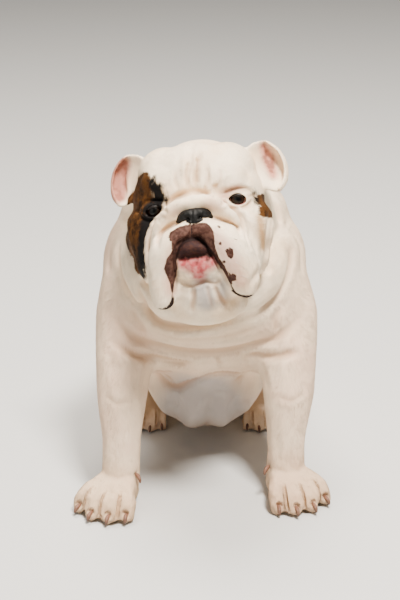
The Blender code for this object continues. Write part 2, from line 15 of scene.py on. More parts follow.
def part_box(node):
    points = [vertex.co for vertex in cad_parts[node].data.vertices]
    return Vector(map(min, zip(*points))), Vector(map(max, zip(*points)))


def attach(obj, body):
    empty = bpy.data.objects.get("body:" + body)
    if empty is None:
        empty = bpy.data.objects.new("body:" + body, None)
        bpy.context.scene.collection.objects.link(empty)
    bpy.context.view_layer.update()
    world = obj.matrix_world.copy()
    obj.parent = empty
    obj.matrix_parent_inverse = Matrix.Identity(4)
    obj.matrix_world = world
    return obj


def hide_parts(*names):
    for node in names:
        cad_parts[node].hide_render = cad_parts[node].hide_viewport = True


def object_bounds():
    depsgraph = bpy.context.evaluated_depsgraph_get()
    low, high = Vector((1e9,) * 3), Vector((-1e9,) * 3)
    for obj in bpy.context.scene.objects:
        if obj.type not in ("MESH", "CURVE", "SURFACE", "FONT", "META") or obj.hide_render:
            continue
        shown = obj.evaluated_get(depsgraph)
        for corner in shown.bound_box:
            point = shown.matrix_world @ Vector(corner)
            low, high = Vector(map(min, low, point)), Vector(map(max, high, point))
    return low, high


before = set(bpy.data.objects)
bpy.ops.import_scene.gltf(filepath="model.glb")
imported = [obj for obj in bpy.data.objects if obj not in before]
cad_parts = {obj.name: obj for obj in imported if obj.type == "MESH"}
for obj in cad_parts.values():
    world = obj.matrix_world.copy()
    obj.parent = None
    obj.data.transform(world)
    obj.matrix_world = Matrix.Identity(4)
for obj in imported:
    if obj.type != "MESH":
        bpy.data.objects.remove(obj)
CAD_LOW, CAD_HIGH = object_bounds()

# Driving dimensions
MM = 0.001
SIDES = (("left", 1), ("right", -1))
PAIRED = ("ear", "foreleg", "forepaw", "hindleg", "hindpaw")
FLESH = ["head", "neck", "torso", "tail"] + [f"{part}_{word}" for part in PAIRED for word, _ in SIDES]
SKIN_VOXEL = 1.6 * MM
JOIN = 0.35 * MM
MERGE = 0.01 * MM
COAT_DEPTH = 1.3 * MM
SKIN_TRIANGLES = 190000
TUFTS = 300000
SEED = 11


def middle_of(node):
    low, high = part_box(node)
    return (low + high) / 2


def turned(origin, yaw, pitch, roll):
    """A frame at origin, turned by degrees: x to the dog's left, y back, z up, in millimetres."""
    turn = Matrix.Rotation(math.radians(yaw), 4, "Z") @ Matrix.Rotation(math.radians(pitch), 4, "X")
    turn = turn @ Matrix.Rotation(math.radians(roll), 4, "Y")
    return Matrix.Translation(origin) @ turn @ Matrix.Scale(MM, 4)


# The face's own frame, from the middles of the two eyeballs, which lie 13 mm behind the line of the lids
EYE_X = 51
EYE_BACK = 13
EYE_RADIUS = 12.5
FACE_TURN = (-4.5, -19, -9.4)
EYES_MIDDLE = (middle_of("eye_left") + middle_of("eye_right")) / 2
FACE_ORIGIN = EYES_MIDDLE - turned(Vector(), *FACE_TURN) @ Vector((0, EYE_BACK, 0))
FACE = turned(FACE_ORIGIN, *FACE_TURN)
SKULL = turned(FACE_ORIGIN + Vector((-3, 0, 2.5)) * MM, -8, -19, -7)

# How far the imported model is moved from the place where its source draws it, and that source's front view
SHIFT = FACE_ORIGIN - Vector((-12, -165, 414.5)) * MM
FRONT = Matrix.Translation((SHIFT.x, 0, 0)) @ Matrix.Scale(MM, 4)

# The camera stands where the photograph was taken from
CAMERA_AIM = FACE_ORIGIN + Vector((5.5, 165, -186.5)) * MM
CAMERA_DISTANCE = 2.03
CAMERA_HEIGHT = 21
CAMERA_LENS = 90


# Tools
def pick(*objects):
    """Selects these objects and nothing else."""
    bpy.ops.object.select_all(action="DESELECT")
    for obj in objects:
        obj.select_set(True)
    bpy.context.view_layer.objects.active = objects[0]


def shaped(obj, kind, **settings):
    """Adds one modifier and applies it."""
    change = obj.modifiers.new(kind.lower(), kind)
    for name, value in settings.items():
        setattr(change, name, value)
    pick(obj)
    bpy.ops.object.modifier_apply(modifier=change.name)
    return obj


def edited(obj, work, **settings):
    """Runs one edit mode operator on all of obj."""
    pick(obj)
    bpy.ops.object.mode_set(mode="EDIT")
    bpy.ops.mesh.select_all(action="SELECT")
    work(**settings)
    bpy.ops.object.mode_set(mode="OBJECT")


def joined_copy(name, nodes):
    """One new object with copies of these solids, their loose triangles merged."""
    pick(*[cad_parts[node] for node in nodes])
    bpy.ops.object.duplicate()
    copies = list(bpy.context.selected_objects)
    for copy in copies:
        copy.parent = None
    pick(*copies)
    bpy.ops.object.join()
    piece = bpy.context.object
    piece.name = name
    for key in list(piece.keys()):
        del piece[key]
    piece.data.materials.clear()
    edited(piece, bpy.ops.mesh.remove_doubles, threshold=MERGE)
    return piece


def read(items, key, width=1, kind=float):
    """What each of Blender's items holds under key, one row an item where that is more than one number."""
    values = np.empty(len(items) * width, kind)
    items.foreach_get(key, values)
    return values.reshape(-1, width) if width > 1 else values


def spots_of(obj):
    return read(obj.data.vertices, "co", 3)


def normals_of(obj):
    return read(obj.data.vertices, "normal", 3)


def place_spots(obj, spots):
    obj.data.vertices.foreach_set("co", spots.ravel())
    obj.data.update()


def placed(place, spots):
    """The spots, given in the frame of place, in the world."""
    move = np.array(place)
    return spots @ move[:3, :3].T + move[:3, 3]


def seen_from(place, spots):
    """The spots in the frame of place, in its millimetres."""
    return placed(place.inverted(), spots)


def weigh(obj, name, weights):
    """A vertex group with these weights, in steps of a tenth."""
    group = obj.vertex_groups.new(name=name)
    steps = np.round(np.clip(weights, 0, 1) * 10).astype(int)
    for step in range(1, 11):
        found = np.flatnonzero(steps == step)
        if len(found):
            group.add(found.tolist(), step / 10, "REPLACE")
    return name


def smooth_path(points, count):
    """A Catmull-Rom curve through points, read at count places."""
    p = np.array(points, float)
    p = np.vstack([2 * p[0] - p[1], p, 2 * p[-1] - p[-2]])
    spans = len(p) - 3
    found = []
    for t in np.linspace(0, spans, count):
        i = min(int(t), spans - 1)
        u = t - i
        a, b, c, d = p[i : i + 4]
        bend = (2 * a - 5 * b + 4 * c - d) * u**2 + (3 * b - a - 3 * c + d) * u**3
        found.append(0.5 * (2 * b + (c - a) * u + bend))
    return np.array(found)


def within(spots, chain):
    """How deep each spot lies inside a chain of balls (x, y, z, radius), in the chain's own units."""
    chain = np.array(chain, float)
    if len(chain) == 1:
        return chain[0, 3] - np.linalg.norm(spots - chain[0, :3], axis=1)
    best = np.full(len(spots), -1e9)
    for a, b in zip(chain, chain[1:]):
        run = b[:3] - a[:3]
        t = np.clip((spots - a[:3]) @ run / (run @ run), 0, 1)
        away = np.linalg.norm(spots - a[:3] - t[:, None] * run, axis=1)
        best = np.maximum(best, a[3] + t * (b[3] - a[3]) - away)
    return best


def soft(depth, edge):
    """0 outside a mark and 1 inside it, over an edge of this width."""
    return np.clip(0.5 + depth / edge, 0, 1)


def fading(away, reach, fade):
    """0 from reach on, rising to 1 as away falls by this fade."""
    return np.clip((reach - away) / fade, 0, 1)


# How the animal is divided for detail, by places in the face's frame and distances in millimetres
HEAD_MIDDLE = (0, 30, -25)
MUZZLE_MIDDLE = (-3, -20, -50)
MUZZLE_SHAPE = (1.1, 1, 1.3)
PAW_TOP = 70
PAWS_END = 0.10


def near_face(spots):
    """1 on the face and skull, falling to 0 over the neck."""
    away = np.linalg.norm(seen_from(FACE, spots) - HEAD_MIDDLE, axis=1)
    return fading(away, 165, 40)


def near_eyes(spots):
    seen = seen_from(FACE, spots)
    away = np.minimum(*[np.linalg.norm(seen - (side * EYE_X, 0, 0), axis=1) for _, side in SIDES])
    return fading(away, 26, 12)


def near_muzzle(spots):
    away = np.linalg.norm((seen_from(FACE, spots) - MUZZLE_MIDDLE) / MUZZLE_SHAPE, axis=1)
    return fading(away, 66, 16)


def near_paws(spots):
    return fading(spots[:, 2] / MM, PAW_TOP, 25) * (spots[:, 1] < PAWS_END)


# The folds, as strokes of points (x, z) seen from in front, with a depth and a width in millimetres.
# What is raised has a depth below zero
def both(path, depth, width):
    return [(path, depth, width), ([(-x, z) for x, z in path], depth, width)]


def face_strokes():
    found = [
        # The furrow behind the roll over the nose, and the roll itself
        ([(-2, 15), (12, 12), (34, 1), (43, -11), (51, -23), (55, -40), (60, -60)], 4.4, 2.9),
        ([(-2, 15), (-18, 13), (-34, 5), (-50, -8), (-58, -22), (-65, -45), (-68, -70)], 4.4, 2.9),
        ([(-2, 4), (18, 1), (33, -8), (46, -26), (53, -48)], -3.4, 6.5),
        ([(-2, 4), (-20, 2), (-36, -6), (-49, -22), (-57, -44)], -3.4, 6.5),
        # Between the roll and the upper lips
        ([(16, -17), (31, -23), (43, -31), (49, -42)], 3.2, 2.0),
        ([(-20, -18), (-34, -23), (-45, -31), (-52, -42)], 3.4, 2.0),
        # The line of the mouth under each upper lip, and the split under the nose
        ([(-7, -41), (-15, -42), (-23, -46), (-30, -61), (-33, -82), (-37, -99), (-42, -114)], 2.4, 2.0),
        ([(-7, -41), (0, -42), (5, -47), (12, -59), (20, -78), (25, -93), (32, -110)], 2.4, 2.0),
        ([(-5, -25), (-6, -33), (-7, -40)], 2.2, 1.3),
        # Under the lower lip, and the lower lip itself
        ([(-26, -66), (-15, -65), (-5, -66), (5, -66), (14, -67)], 1.3, 2.6),
        ([(-20, -57), (-13, -53), (-4, -52), (4, -54), (10, -59)], -4.6, 6.0),
        # Under the chin, its two pads and its cleft
        ([(-27, -90), (-16, -96), (-7, -94), (2, -92), (12, -97), (21, -91)], 2.2, 2.4),
        ([(-23, -84), (-17, -86), (-12, -85)], -2.0, 5.0),
        ([(9, -86), (14, -88), (19, -86)], -2.0, 5.0),
        ([(-4, -68), (-4, -80), (-3, -92)], 1.8, 2.6),
        # Down the throat
        ([(-14, -96), (-17, -112), (-22, -128)], 2.4, 2.4),
        ([(2, -98), (3, -112), (4, -128)], 1.6, 2.4),
        ([(10, -96), (14, -112), (22, -128)], 2.4, 2.4),
        # Down the cheeks from below the eyes
        ([(38, -3), (52, -16), (62, -32), (70, -52)], 1.2, 3.6),
        ([(-40, -4), (-52, -15), (-66, -34)], 1.2, 3.0),
    ]
    # The right ear's cup
    found.append(([(-87, 64), (-91, 52), (-92, 40), (-91, 28)], 2.4, 2.4))
    # Under each eye, its inner and outer corners, the crease over its lid, and the brow
    found += both([(37, -4), (43, -9), (52, -11), (62, -8), (69, -1)], 0.9, 1.8)
    found += both([(41, -1), (36, -3), (31, -5)], 2.0, 2.0)
    found += both([(62, 0), (69, 2), (76, 2)], 1.6, 2.0)
    found += both([(35, 8), (44, 13), (54, 14), (63, 11), (71, 3)], 1.3, 1.6)
    found += both([(36, 14), (46, 17), (58, 16), (70, 9)], -2.2, 4.0)
    return found


def skull_strokes():
    """The edge of each cheek, from the ear down to the jaw."""
    return both([(86, 2), (92, -20), (88, -48), (78, -80), (64, -106)], 1.4, 4.0)


def brow_strokes():
    """The furrows of the forehead, with two low ridges between them, and the two sides of the brow."""
    return [
        ([(4, 20), (6, 34), (10, 47), (14, 62)], 2.8, 2.6),
        ([(-7, 22), (-6, 36), (-2, 47)], 1.9, 2.2),
        ([(16, 18), (20, 31), (20, 43)], 1.9, 2.2),
        ([(-18, 20), (-20, 33), (-18, 45)], 1.4, 2.4),
        ([(30, 16), (35, 27), (36, 39)], 1.4, 2.4),
        ([(-1, 24), (0, 34), (2, 44)], -1.0, 2.2),
        ([(11, 24), (13, 34), (15, 42)], -1.0, 2.2),
        *both([(26, 23), (44, 27), (62, 23)], -0.8, 5.0),
    ]


CHEST_FLAP = [(-70, 150), (-54, 130), (-38, 127), (-18, 141), (3, 158), (24, 163), (47, 150), (68, 158)]


def chest_strokes():
    """The folds of the neck, chest, belly and front legs."""
    found = [
        # Under the neck and across the chest
        ([(-86, 300), (-75, 274), (-63, 254), (-42, 249), (-14, 252), (26, 262), (57, 268)], 2.6, 4.5),
        ([(-116, 242), (-77, 214), (-42, 207), (26, 206), (84, 216), (118, 240)], 2.2, 5),
        ([(-120, 216), (-73, 192), (-42, 185), (-14, 186)], 2.4, 4.5),
        ([(52, 192), (86, 194), (118, 204)], 2.2, 4.5),
        ([(-57, 178), (-40, 180), (-25, 181)], 1.8, 2.6),
        # Under the flap of the chest, and the flap itself
        (CHEST_FLAP, 3.4, 4.2),
        ([(-66, 162), (-48, 143), (-30, 142), (0, 172), (26, 177), (50, 165)], -2.2, 6),
        # The hollows of the belly
        ([(2, 36), (3, 50), (7, 76), (14, 104), (20, 124)], 8, 10),
        ([(-38, 48), (-44, 66), (-40, 92), (-46, 116)], 6, 9),
        ([(44, 54), (46, 72), (42, 92), (48, 112)], 6, 9),
        # Small folds of the chest
        ([(17, 200), (18, 190), (22, 182)], 1.5, 2.4),
        ([(-70, 236), (-40, 228), (0, 231), (40, 236), (70, 240)], 1.6, 6),
        ([(-96, 262), (-84, 240), (-80, 226)], 1.6, 5),
        ([(96, 262), (90, 244), (92, 228)], 1.6, 5),
        ([(-66, 160), (-54, 154), (-44, 158)], 1.8, 3.0),
    ]
    # From each shoulder in to the chest, and the inside of each elbow
    found += both([(112, 330), (106, 300), (88, 276), (66, 262)], 1.8, 5)
    found += both([(128, 150), (112, 143), (94, 146)], 0.9, 4)
    return found


def side_strokes():
    """Folds of one side, as (y, z) seen from there: elbow, shoulder, neck, flank, loin, thigh and hock."""
    return [
        ([(-104, 186), (-96, 160), (-98, 132)], 2.4, 5),
        ([(-62, 322), (-46, 286), (-44, 250), (-54, 214)], 2.4, 9),
        ([(-88, 350), (-92, 318), (-108, 290)], 2.2, 8),
        ([(-12, 214), (10, 196), (28, 168), (34, 136)], 2.6, 8),
        ([(74, 224), (50, 206), (38, 184)], 2.2, 8),
        ([(112, 196), (146, 186), (176, 160)], -2.0, 12),
        ([(96, 74), (130, 66), (160, 76)], 1.8, 8),
    ]


def back_strokes():
    """Folds of the back, as (x, z) seen from behind: spine, shoulder blades, loins and rump."""
    found = [([(0, 404), (1, 350), (0, 290), (0, 230), (0, 176)], 2.4, 9)]
    found += both([(20, 396), (48, 378), (70, 352)], 2.2, 8)
    found += both([(22, 372), (44, 340), (52, 300), (44, 262)], -2.0, 13)
    found += both([(14, 152), (40, 166), (66, 160)], 2.0, 8)
    return found


def all_round(surface):
    """The folds of the two sides and the back, as lines on the skin."""
    lines = landed(surface, back_strokes(), FRONT @ Matrix.Rotation(math.pi, 4, "Z"))
    for _, side in SIDES:
        strokes = [([(side * y, z) for y, z in path], depth, width) for path, depth, width in side_strokes()]
        lines += landed(surface, strokes, FRONT @ Matrix.Rotation(side * math.pi / 2, 4, "Z"))
    return lines


def surface_of(obj):
    return BVHTree.FromPolygons(spots_of(obj).tolist(), [tuple(p.vertices) for p in obj.data.polygons])


def landed(surface, strokes, place):
    """Each stroke as a line on the skin, where it lands when pushed straight in from the front of place."""
    aim = (place.to_3x3() @ Vector((0, 1, 0))).normalized()
    lines = []
    for path, depth, width in strokes:
        run = sum(math.dist(a, b) for a, b in zip(path, path[1:]))
        hits = []
        for x, z in smooth_path(path, max(5, int(run / 1.2))):
            hit = surface.ray_cast(place @ Vector((x, -400, z)), aim)[0]
            if hit is not None:
                hits.append(hit)
        lines.append((np.array(hits), depth, width))
    return lines


# A stroke this wide shapes the body and gets no painted shade as a fold. A fold's painted shade is darkest
# from this depth on.
# Beside a fold the skin swells by this share of its depth, this many of its widths away
BROAD = 8
FULL_SHADE_DEPTH = 2.5
SWELL = 0.3
SWELL_AT = 2.1


def press(obj, lines):
    """Sinks each line into the skin as a fold with a soft swell beside it; a negative depth raises it.

    Returns how deep in a fold each vertex lies, from 0 to 1: the share of painted shade that the fold gets.
    """
    spots = spots_of(obj)
    move = np.zeros(len(spots))
    deep = np.zeros(len(spots))
    for line, depth, width in lines:
        reach = 4 * width * MM
        low, high = line.min(axis=0) - reach, line.max(axis=0) + reach
        near = np.flatnonzero(((spots > low) & (spots < high)).all(axis=1))
        away = np.linalg.norm(spots[near, None] - line[None], axis=2)
        along = away.argmin(axis=1) / (len(line) - 1)
        away = away.min(axis=1) / (width * MM)
        fade = np.clip(np.minimum(along, 1 - along) * 5 + 0.15, 0, 1)
        sink = fade * np.exp(-(away**2))
        swell = SWELL * fade * np.exp(-((away - SWELL_AT) ** 2))
        move[near] += depth * MM * (swell - sink)
        # Narrow folds get painted shade, darker as they deepen
        if depth > 0 and width < BROAD:
            deep[near] = np.maximum(deep[near], sink * min(depth / FULL_SHADE_DEPTH, 1))
    place_spots(obj, spots + normals_of(obj) * move[:, None])
    return deep


# Paws: where each stands, which way it turns and how big it is, and how its toes fan out
PAWS = {
    "forepaw_left": (1, (105, -119, 0), 20, 1.0),
    "forepaw_right": (-1, (-111, -141, 0), -20, 1.0),
    "hindpaw_left": (1, (80, 112, 0), 8, 0.78),
    "hindpaw_right": (-1, (-80, 112, 0), -8, 0.78),
}
TOES = ((-25, -11, 54), (-9, -4, 65), (10, 5, 64), (27, 14, 51))
# A toe's ridge, the filling of the solid's gap beside it, and the groove cut there: depth, width, first point
KNUCKLE = (-1.0, 8.0, 22)
FILLING = (-3.4, 5.0, 19)
GROOVE = (6.2, 1.6, 21)
TOE_POINTS = 40


def paw_place(paw):
    """The frame of a paw: its origin on the floor under the wrist, its toes towards -y, in millimetres."""
    _, spot, turn, size = PAWS[paw]
    at = Matrix.Translation(SHIFT + Vector(spot) * MM) @ Matrix.Rotation(math.radians(turn), 4, "Z")
    return at @ Matrix.Scale(size * MM, 4)


def toe(side, across, lean, reach):
    """One toe as points from its root to its pad."""
    x = side * across
    end = x + side * lean * 0.5
    tip = end + side * lean * 0.15
    root = (x * 0.5, -6, 34)
    return np.array([root, (x * 0.85, -0.5 * reach, 31), (end, -0.82 * reach, 23), (tip, -reach, 9)])


def toe_lines(surface, paw):
    """The grooves between the toes, and a low ridge along the top of each toe."""
    place = paw_place(paw)
    toes = [toe(PAWS[paw][0], *fan) for fan in TOES]
    middles = [(a + b) / 2 for a, b in zip(toes, toes[1:])]
    strokes = [(line, *KNUCKLE) for line in toes]
    strokes += [(line, *FILLING) for line in middles] + [(line, *GROOVE) for line in middles]
    size = PAWS[paw][3]
    lines = []
    for line, depth, width, first in strokes:
        hits = []
        path = smooth_path(line, TOE_POINTS)[first:]
        for k, spot in enumerate(path):
            tip = k / (len(path) - 1)
            aim = Vector((0, -math.sin(tip * 1.45), math.cos(tip * 1.45)))
            start = place @ (Vector(spot) + aim * 45)
            hit = surface.ray_cast(start, (place.to_3x3() @ -aim).normalized())[0]
            if hit is not None:
                hits.append(hit)
        lines.append((np.array(hits), depth * size, width * size))
    return lines


# Marks on the coat, as chains of balls (x, y, z, radius) in the face's frame
BRINDLE = [
    [(-60, 10, 39, 11), (-66, 22, 26, 20), (-71, 34, 6, 27), (-80, 40, -18, 22), (-85, 40, -40, 19)],
    [(-85, 40, -40, 19), (-84, 36, -58, 13), (-79, 24, -76, 5)],
]
BRINDLE_LEFT = [
    [(79, 16, -4, 8), (84, 36, -8, 12), (88, 52, -11, 12)],
    [(80, 14, -19, 8), (86, 34, -19, 9)],
]
EAR_SIDE = [[(-92, 70, 66, 14), (-102, 78, 48, 18), (-105, 74, 26, 15), (-101, 76, 8, 13)]]
BLACK = [
    [(-47, 0, 35, 5), (-43, -2, 25, 8), (-40, -1, 14, 9), (-46, 0, 5, 9)],
    [(-52, -2, 0, 13)],
    [(-60, 0, -10, 9), (-66, 2, -26, 8), (-71, 8, -46, 7), (-74, 12, -64, 6), (-77, 18, -78, 4)],
    [(72, 14, 4, 2.5), (73, 13, -6, 3)],
]
TEAR = [[(74, 2, -26, 4), (74, 2, -44, 5), (74, 10, -62, 5)]]
EYE_CORNER = [[(63, 4, 0, 2), (71, 12, 2, 3)]]
# Painted shade round the left eye: under the brow above it, and below it
EYE_SHADE = [
    [(35, -2, 2, 4), (42, 0, 11, 4), (54, 2, 13, 4), (66, 6, 7, 4)],
    [(38, 0, -8, 2), (56, 2, -12, 3), (66, 6, -7, 3)],
]
ROLL_TOP = (-2, -22, 1, 13)
ROLL_SIDE = [(18, -20, -2, 13), (36, -12, -12, 14), (50, -4, -31, 15), (57, 0, -56, 14)]
ROLL = [[ROLL_TOP] + [(side * x, y, z, r) for x, y, z, r in ROLL_SIDE] for _, side in SIDES]
FLEWS = [
    [(-10, -29, -34, 14), (-26, -29, -40, 18), (-42, -23, -55, 22)],
    [(-42, -23, -55, 22), (-49, -17, -76, 21), (-53, -13, -107, 17)],
    [(6, -29, -34, 14), (20, -29, -41, 19), (34, -23, -57, 26), (42, -18, -77, 26), (47, -13, -106, 17)],
]
LIP_PIGMENT = [
    [(-6, -36, -31, 8), (-18, -40, -33, 9), (-27, -42, -35, 7)],
    [(-26, -43, -42, 5), (-28, -42, -53, 4), (-35, -38, -64, 6), (-37, -36, -72, 8)],
    [(-37, -36, -72, 8), (-37, -32, -80, 6), (-37, -30, -90, 4), (-39, -24, -101, 2)],
    [(-4, -36, -31, 8), (8, -39, -31, 8), (12, -41, -34, 7)],
    [(-22, -38, -43, 6), (-14, -38, -38, 6), (0, -38, -39, 6), (9, -40, -42, 6)],
    [(12, -43, -37, 8), (12, -43, -47, 8), (15, -42, -57, 5), (18, -41, -67, 4), (23, -38, -80, 4.5)],
    [(23, -38, -80, 4.5), (27, -35, -89, 3.5), (31, -31, -99, 2.5)],
    [(-24, -26, -21, 1), (-35, -24, -24, 1), (-46, -20, -32, 0.6)],
    [(18, -28, -18, 0.8), (30, -24, -23, 0.6)],
]
LIP_SPOTS = [
    [(35, -46, -61, 4.5), (36, -46, -66, 4)],
    [(35, -36, -92, 4.5)],
    [(26, -46, -51, 2.2)],
    [(45, -42, -48, 1.6)],
    [(27, -41, -31, 2)],
    [(50, -41, -57, 1.4)],
    [(48, -39, -86, 1.6)],
    [(28, -43, -72, 1.4)],
]
# The dark edges of the lips: the lower edges of the flews, the mouth line under each upper lip, which is also
# painted shadow in the gap of the mouth, and the split under the nose
LIP_EDGE_AND_GAP_SHADOW = [
    [(-60, -14, -120, 3.4), (-54, -16, -121, 3.8), (-47, -18, -119, 3.2), (-42, -19, -112, 2.4)],
    [(31, -18, -109, 2), (39, -16, -115, 2.4), (48, -16, -118, 3), (55, -12, -117, 2.6)],
    [(-7, -36, -41, 2.2), (-16, -38, -43, 2), (-23, -40, -49, 1.6)],
    [(-23, -40, -49, 1.6), (-30, -38, -62, 1.6), (-34, -34, -82, 1.8)],
    [(-34, -34, -82, 2), (-38, -26, -99, 2), (-42, -18, -114, 2)],
    [(-7, -36, -41, 2.2), (0, -36, -42, 2.2), (6, -38, -48, 2.2), (13, -38, -59, 2.2), (21, -38, -78, 2.5)],
    [(21, -38, -78, 2.5), (26, -32, -93, 2), (33, -20, -110, 2)],
    [(-5, -36, -25, 0.8), (-7, -36, -40, 0.8)],
]
LOWER_LIP = [
    [(-24, -38, -57, 6), (-14, -38, -54, 10), (-5, -36, -54, 11), (4, -35, -55, 10), (10, -34, -61, 6)],
    [(-24, -22, -54, 7), (-14, -20, -50, 9), (-4, -20, -48, 10), (6, -22, -51, 8), (11, -22, -56, 6)],
    [(-17, -38, -48, 6), (-10, -38, -46, 6.5), (-2, -36, -46, 6.5), (5, -36, -49, 5)],
    [(-5, -38, -62, 4), (-5, -38, -68, 1.5)],
    [(7, -36, -62, 4), (8, -36, -68, 1.5)],
]
CHIN = [[(-21, -35, -67, 9), (-5, -38, -72, 14), (11, -35, -70, 10)], [(-5, -38, -84, 9)]]
# Grey under the chin and down the throat: painted shade there
THROAT = [
    [(-10, -28, -88, 3), (0, -28, -88, 5), (8, -26, -92, 4)],
    [(-4, -20, -98, 11), (-2, -10, -116, 13)],
    [(20, -14, -100, 5), (16, -6, -116, 8)],
]
THROAT_STAIN = [[(14, -11, -117, 5), (28, 0, -123, 6)]]
# Painted shade in the furrow of the forehead
BROW_FURROW_SHADE = [[(4, -7, 18, 3), (7, -4, 40, 4)]]
FOREHEAD_SPOTS = [[(9, -1, 53, 2)], [(27, -7, 19, 3)], [(-3, 0, 49, 1.6)], [(15, -6, 19, 2)]]
FLEW_PINK = [
    [(20, -44, -40, 8), (30, -42, -58, 11), (36, -38, -78, 12), (42, -34, -98, 8)],
    [(-30, -40, -50, 5), (-40, -40, -62, 5), (-42, -30, -100, 6)],
    [(20, -20, -2, 7), (30, -14, -8, 5)],
    [(-22, -20, -6, 5)],
    [(36, -2, 4, 6), (42, 0, 11, 4), (54, 0, 13, 3)],
]
EAR_CUPS = [
    [(-88, 66, 66, 9), (-97, 76, 50, 11), (-100, 70, 28, 10)],
    [(89, 66, 62, 6), (93, 70, 46, 9), (96, 66, 26, 6)],
]
# Stains of the face and painted shade round the left eye and in the brow's furrow, each with its strength and
# the width of its edge
STAINS_AND_SHADE = (
    (TEAR, 0.95, 7),
    (EYE_CORNER, 0.5, 5),
    (EYE_SHADE, 0.4, 8),
    (THROAT_STAIN, 0.55, 8),
    (BROW_FURROW_SHADE, 0.35, 8),
    (FOREHEAD_SPOTS, 0.9, 3),
)
# Marks on the body, as chains of balls in the frame of its source
FLANK = [(146, 2, 244, 30), (142, 26, 240, 40), (134, 62, 216, 30), (128, 92, 206, 14)]
# The belly between the legs: thin hair, and painted shade under the chest
BELLY = [(-5, -85, 95, 66), (0, 0, 60, 66)]
# Tan on the right haunch and hind paw
TAN_HAUNCH = [(-80, 100, 20, 40), (-80, 150, 30, 34)]
DEPTH_SHARE = 0.35


def deepest(spots, chains):
    """How deep the spots lie in any of the chains; depth behind the face counts for less than the rest."""
    squeeze = np.array((1, DEPTH_SHARE, 1))
    flat = [[(x, y * DEPTH_SHARE, z, r) for x, y, z, r in chain] for chain in chains]
    return np.max([within(spots * squeeze, chain) for chain in flat], axis=0)


def stains_and_shade(face, body):
    """Marks of tears, painted shade round the left eye and in the furrow of the forehead, spots of the
    forehead, and dirt on the paws.
    """
    found = [strength * soft(deepest(face, chains), edge) for chains, strength, edge in STAINS_AND_SHADE]
    found.append(0.5 * fading(body[:, 2], 80, 60) * (1 - 0.7 * (body[:, 1] > 20)))
    found.append(0.5 * soft(within(body, TAN_HAUNCH), 30))
    return np.max(found, axis=0)


def thin_hair_and_shade(face, body):
    """Where grey skin shows through thin hair, with painted shade there: the belly between the legs under the
    chest, and the throat under the chin.
    """
    belly = soft(within(body, BELLY), 30) * fading(body[:, 2], 172, 14)
    return np.maximum(belly * fading(np.abs(body[:, 0]), 78, 12), 0.9 * soft(deepest(face, THROAT), 10))


def marks(spots, facing):
    """Every mark at these spots, as soft values from 0 to 1, painted shade among them. Skin and coat both
    read them.
    """
    face = seen_from(FACE, spots)
    body = (spots - np.array(SHIFT)) / MM
    ahead = facing @ -np.array((FACE.to_3x3() @ Vector((0, 1, 0))).normalized())
    front = np.maximum(np.clip(ahead * 3 + 0.5, 0, 1), face[:, 1] < 5)
    muzzle = soft(np.max([within(face, chain) for chain in ROLL + FLEWS], axis=0) - 1, 5)
    cheek = soft(deepest(face, BRINDLE), 9) * (1 - muzzle) * (1 - soft(deepest(face, EAR_SIDE), 4))
    temple = soft(deepest(face, BRINDLE_LEFT), 7)
    cup = soft(deepest(face, EAR_CUPS), 7) * np.clip(ahead * 4 + 0.4, 0, 1)
    lips = np.maximum(soft(deepest(face, LIP_PIGMENT), 4), soft(deepest(face, LIP_SPOTS), 2.5))
    return {
        "brindle": np.max([cheek, temple, soft(within(body, FLANK), 9)], axis=0),
        "black": soft(deepest(face, BLACK), 12) * (1 - muzzle),
        "pink": np.maximum(soft(deepest(face, CHIN), 8), 0.45 * soft(deepest(face, FLEW_PINK), 10)),
        "ear": cup,
        # Painted shade: the right ear's cup darker than the left
        "ear_shade": cup * 0.6 * (face[:, 0] < 0),
        "pigment": lips * front,
        # Dark lip edges, also painted shadow in the gap of the mouth
        "dark": soft(deepest(face, LIP_EDGE_AND_GAP_SHADOW), 3) * front,
        "lip": soft(deepest(face, LOWER_LIP), 9),
        # Stains, and painted shade round the left eye and in the brow's furrow
        "stain_and_shade": stains_and_shade(face, body),
        # Grey for thin hair, and painted shade under the chest and chin
        "grey": thin_hair_and_shade(face, body),
        "sallow": 1 - near_face(spots),
        "level": np.clip(np.abs(facing[:, 2]) * 2 - 0.7, 0, 1),
    }


def stored(obj, values):
    """Keeps each list of numbers on obj's vertices, under its name."""
    for name, numbers in values.items():
        layer = obj.data.attributes.new(name, "FLOAT", "POINT")
        layer.data.foreach_set("value", np.asarray(numbers, np.float32))


# Materials
def node(tree, kind, settings=(), **sockets):
    """A shader node with its settings, and with each socket set to a value or linked to another socket."""
    made = tree.nodes.new(f"ShaderNode{kind}")
    for name, value in dict(settings).items():
        setattr(made, name, value)
    for name, value in sockets.items():
        fill(tree, made.inputs[name.replace("_", " ")], value)
    return made


def fill(tree, socket, value):
    if isinstance(value, bpy.types.NodeSocket):
        tree.links.new(value, socket)
    elif hasattr(value, "__len__") and len(value) == 3 and socket.type == "RGBA":
        socket.default_value = (*value, 1)
    else:
        socket.default_value = value


def new_material(name, **sockets):
    material = bpy.data.materials.new(name)
    material.use_nodes = True
    shader = material.node_tree.nodes["Principled BSDF"]
    for socket, value in sockets.items():
        fill(material.node_tree, shader.inputs[socket.replace("_", " ")], value)
    return material, material.node_tree, shader


def coloured(tree, shader, colour):
    tree.links.new(colour, shader.inputs["Base Color"])


def bumped(tree, shader, height, strength, distance):
    """Raises the light on a finish by this height, without moving the surface."""
    bump = node(tree, "Bump", Height=height, Strength=strength, Distance=distance)
    tree.links.new(bump.outputs["Normal"], shader.inputs["Normal"])


def amount(tree, name):
    """The value that a piece keeps on its vertices under this name."""
    return node(tree, "Attribute", {"attribute_name": name}).outputs["Fac"]


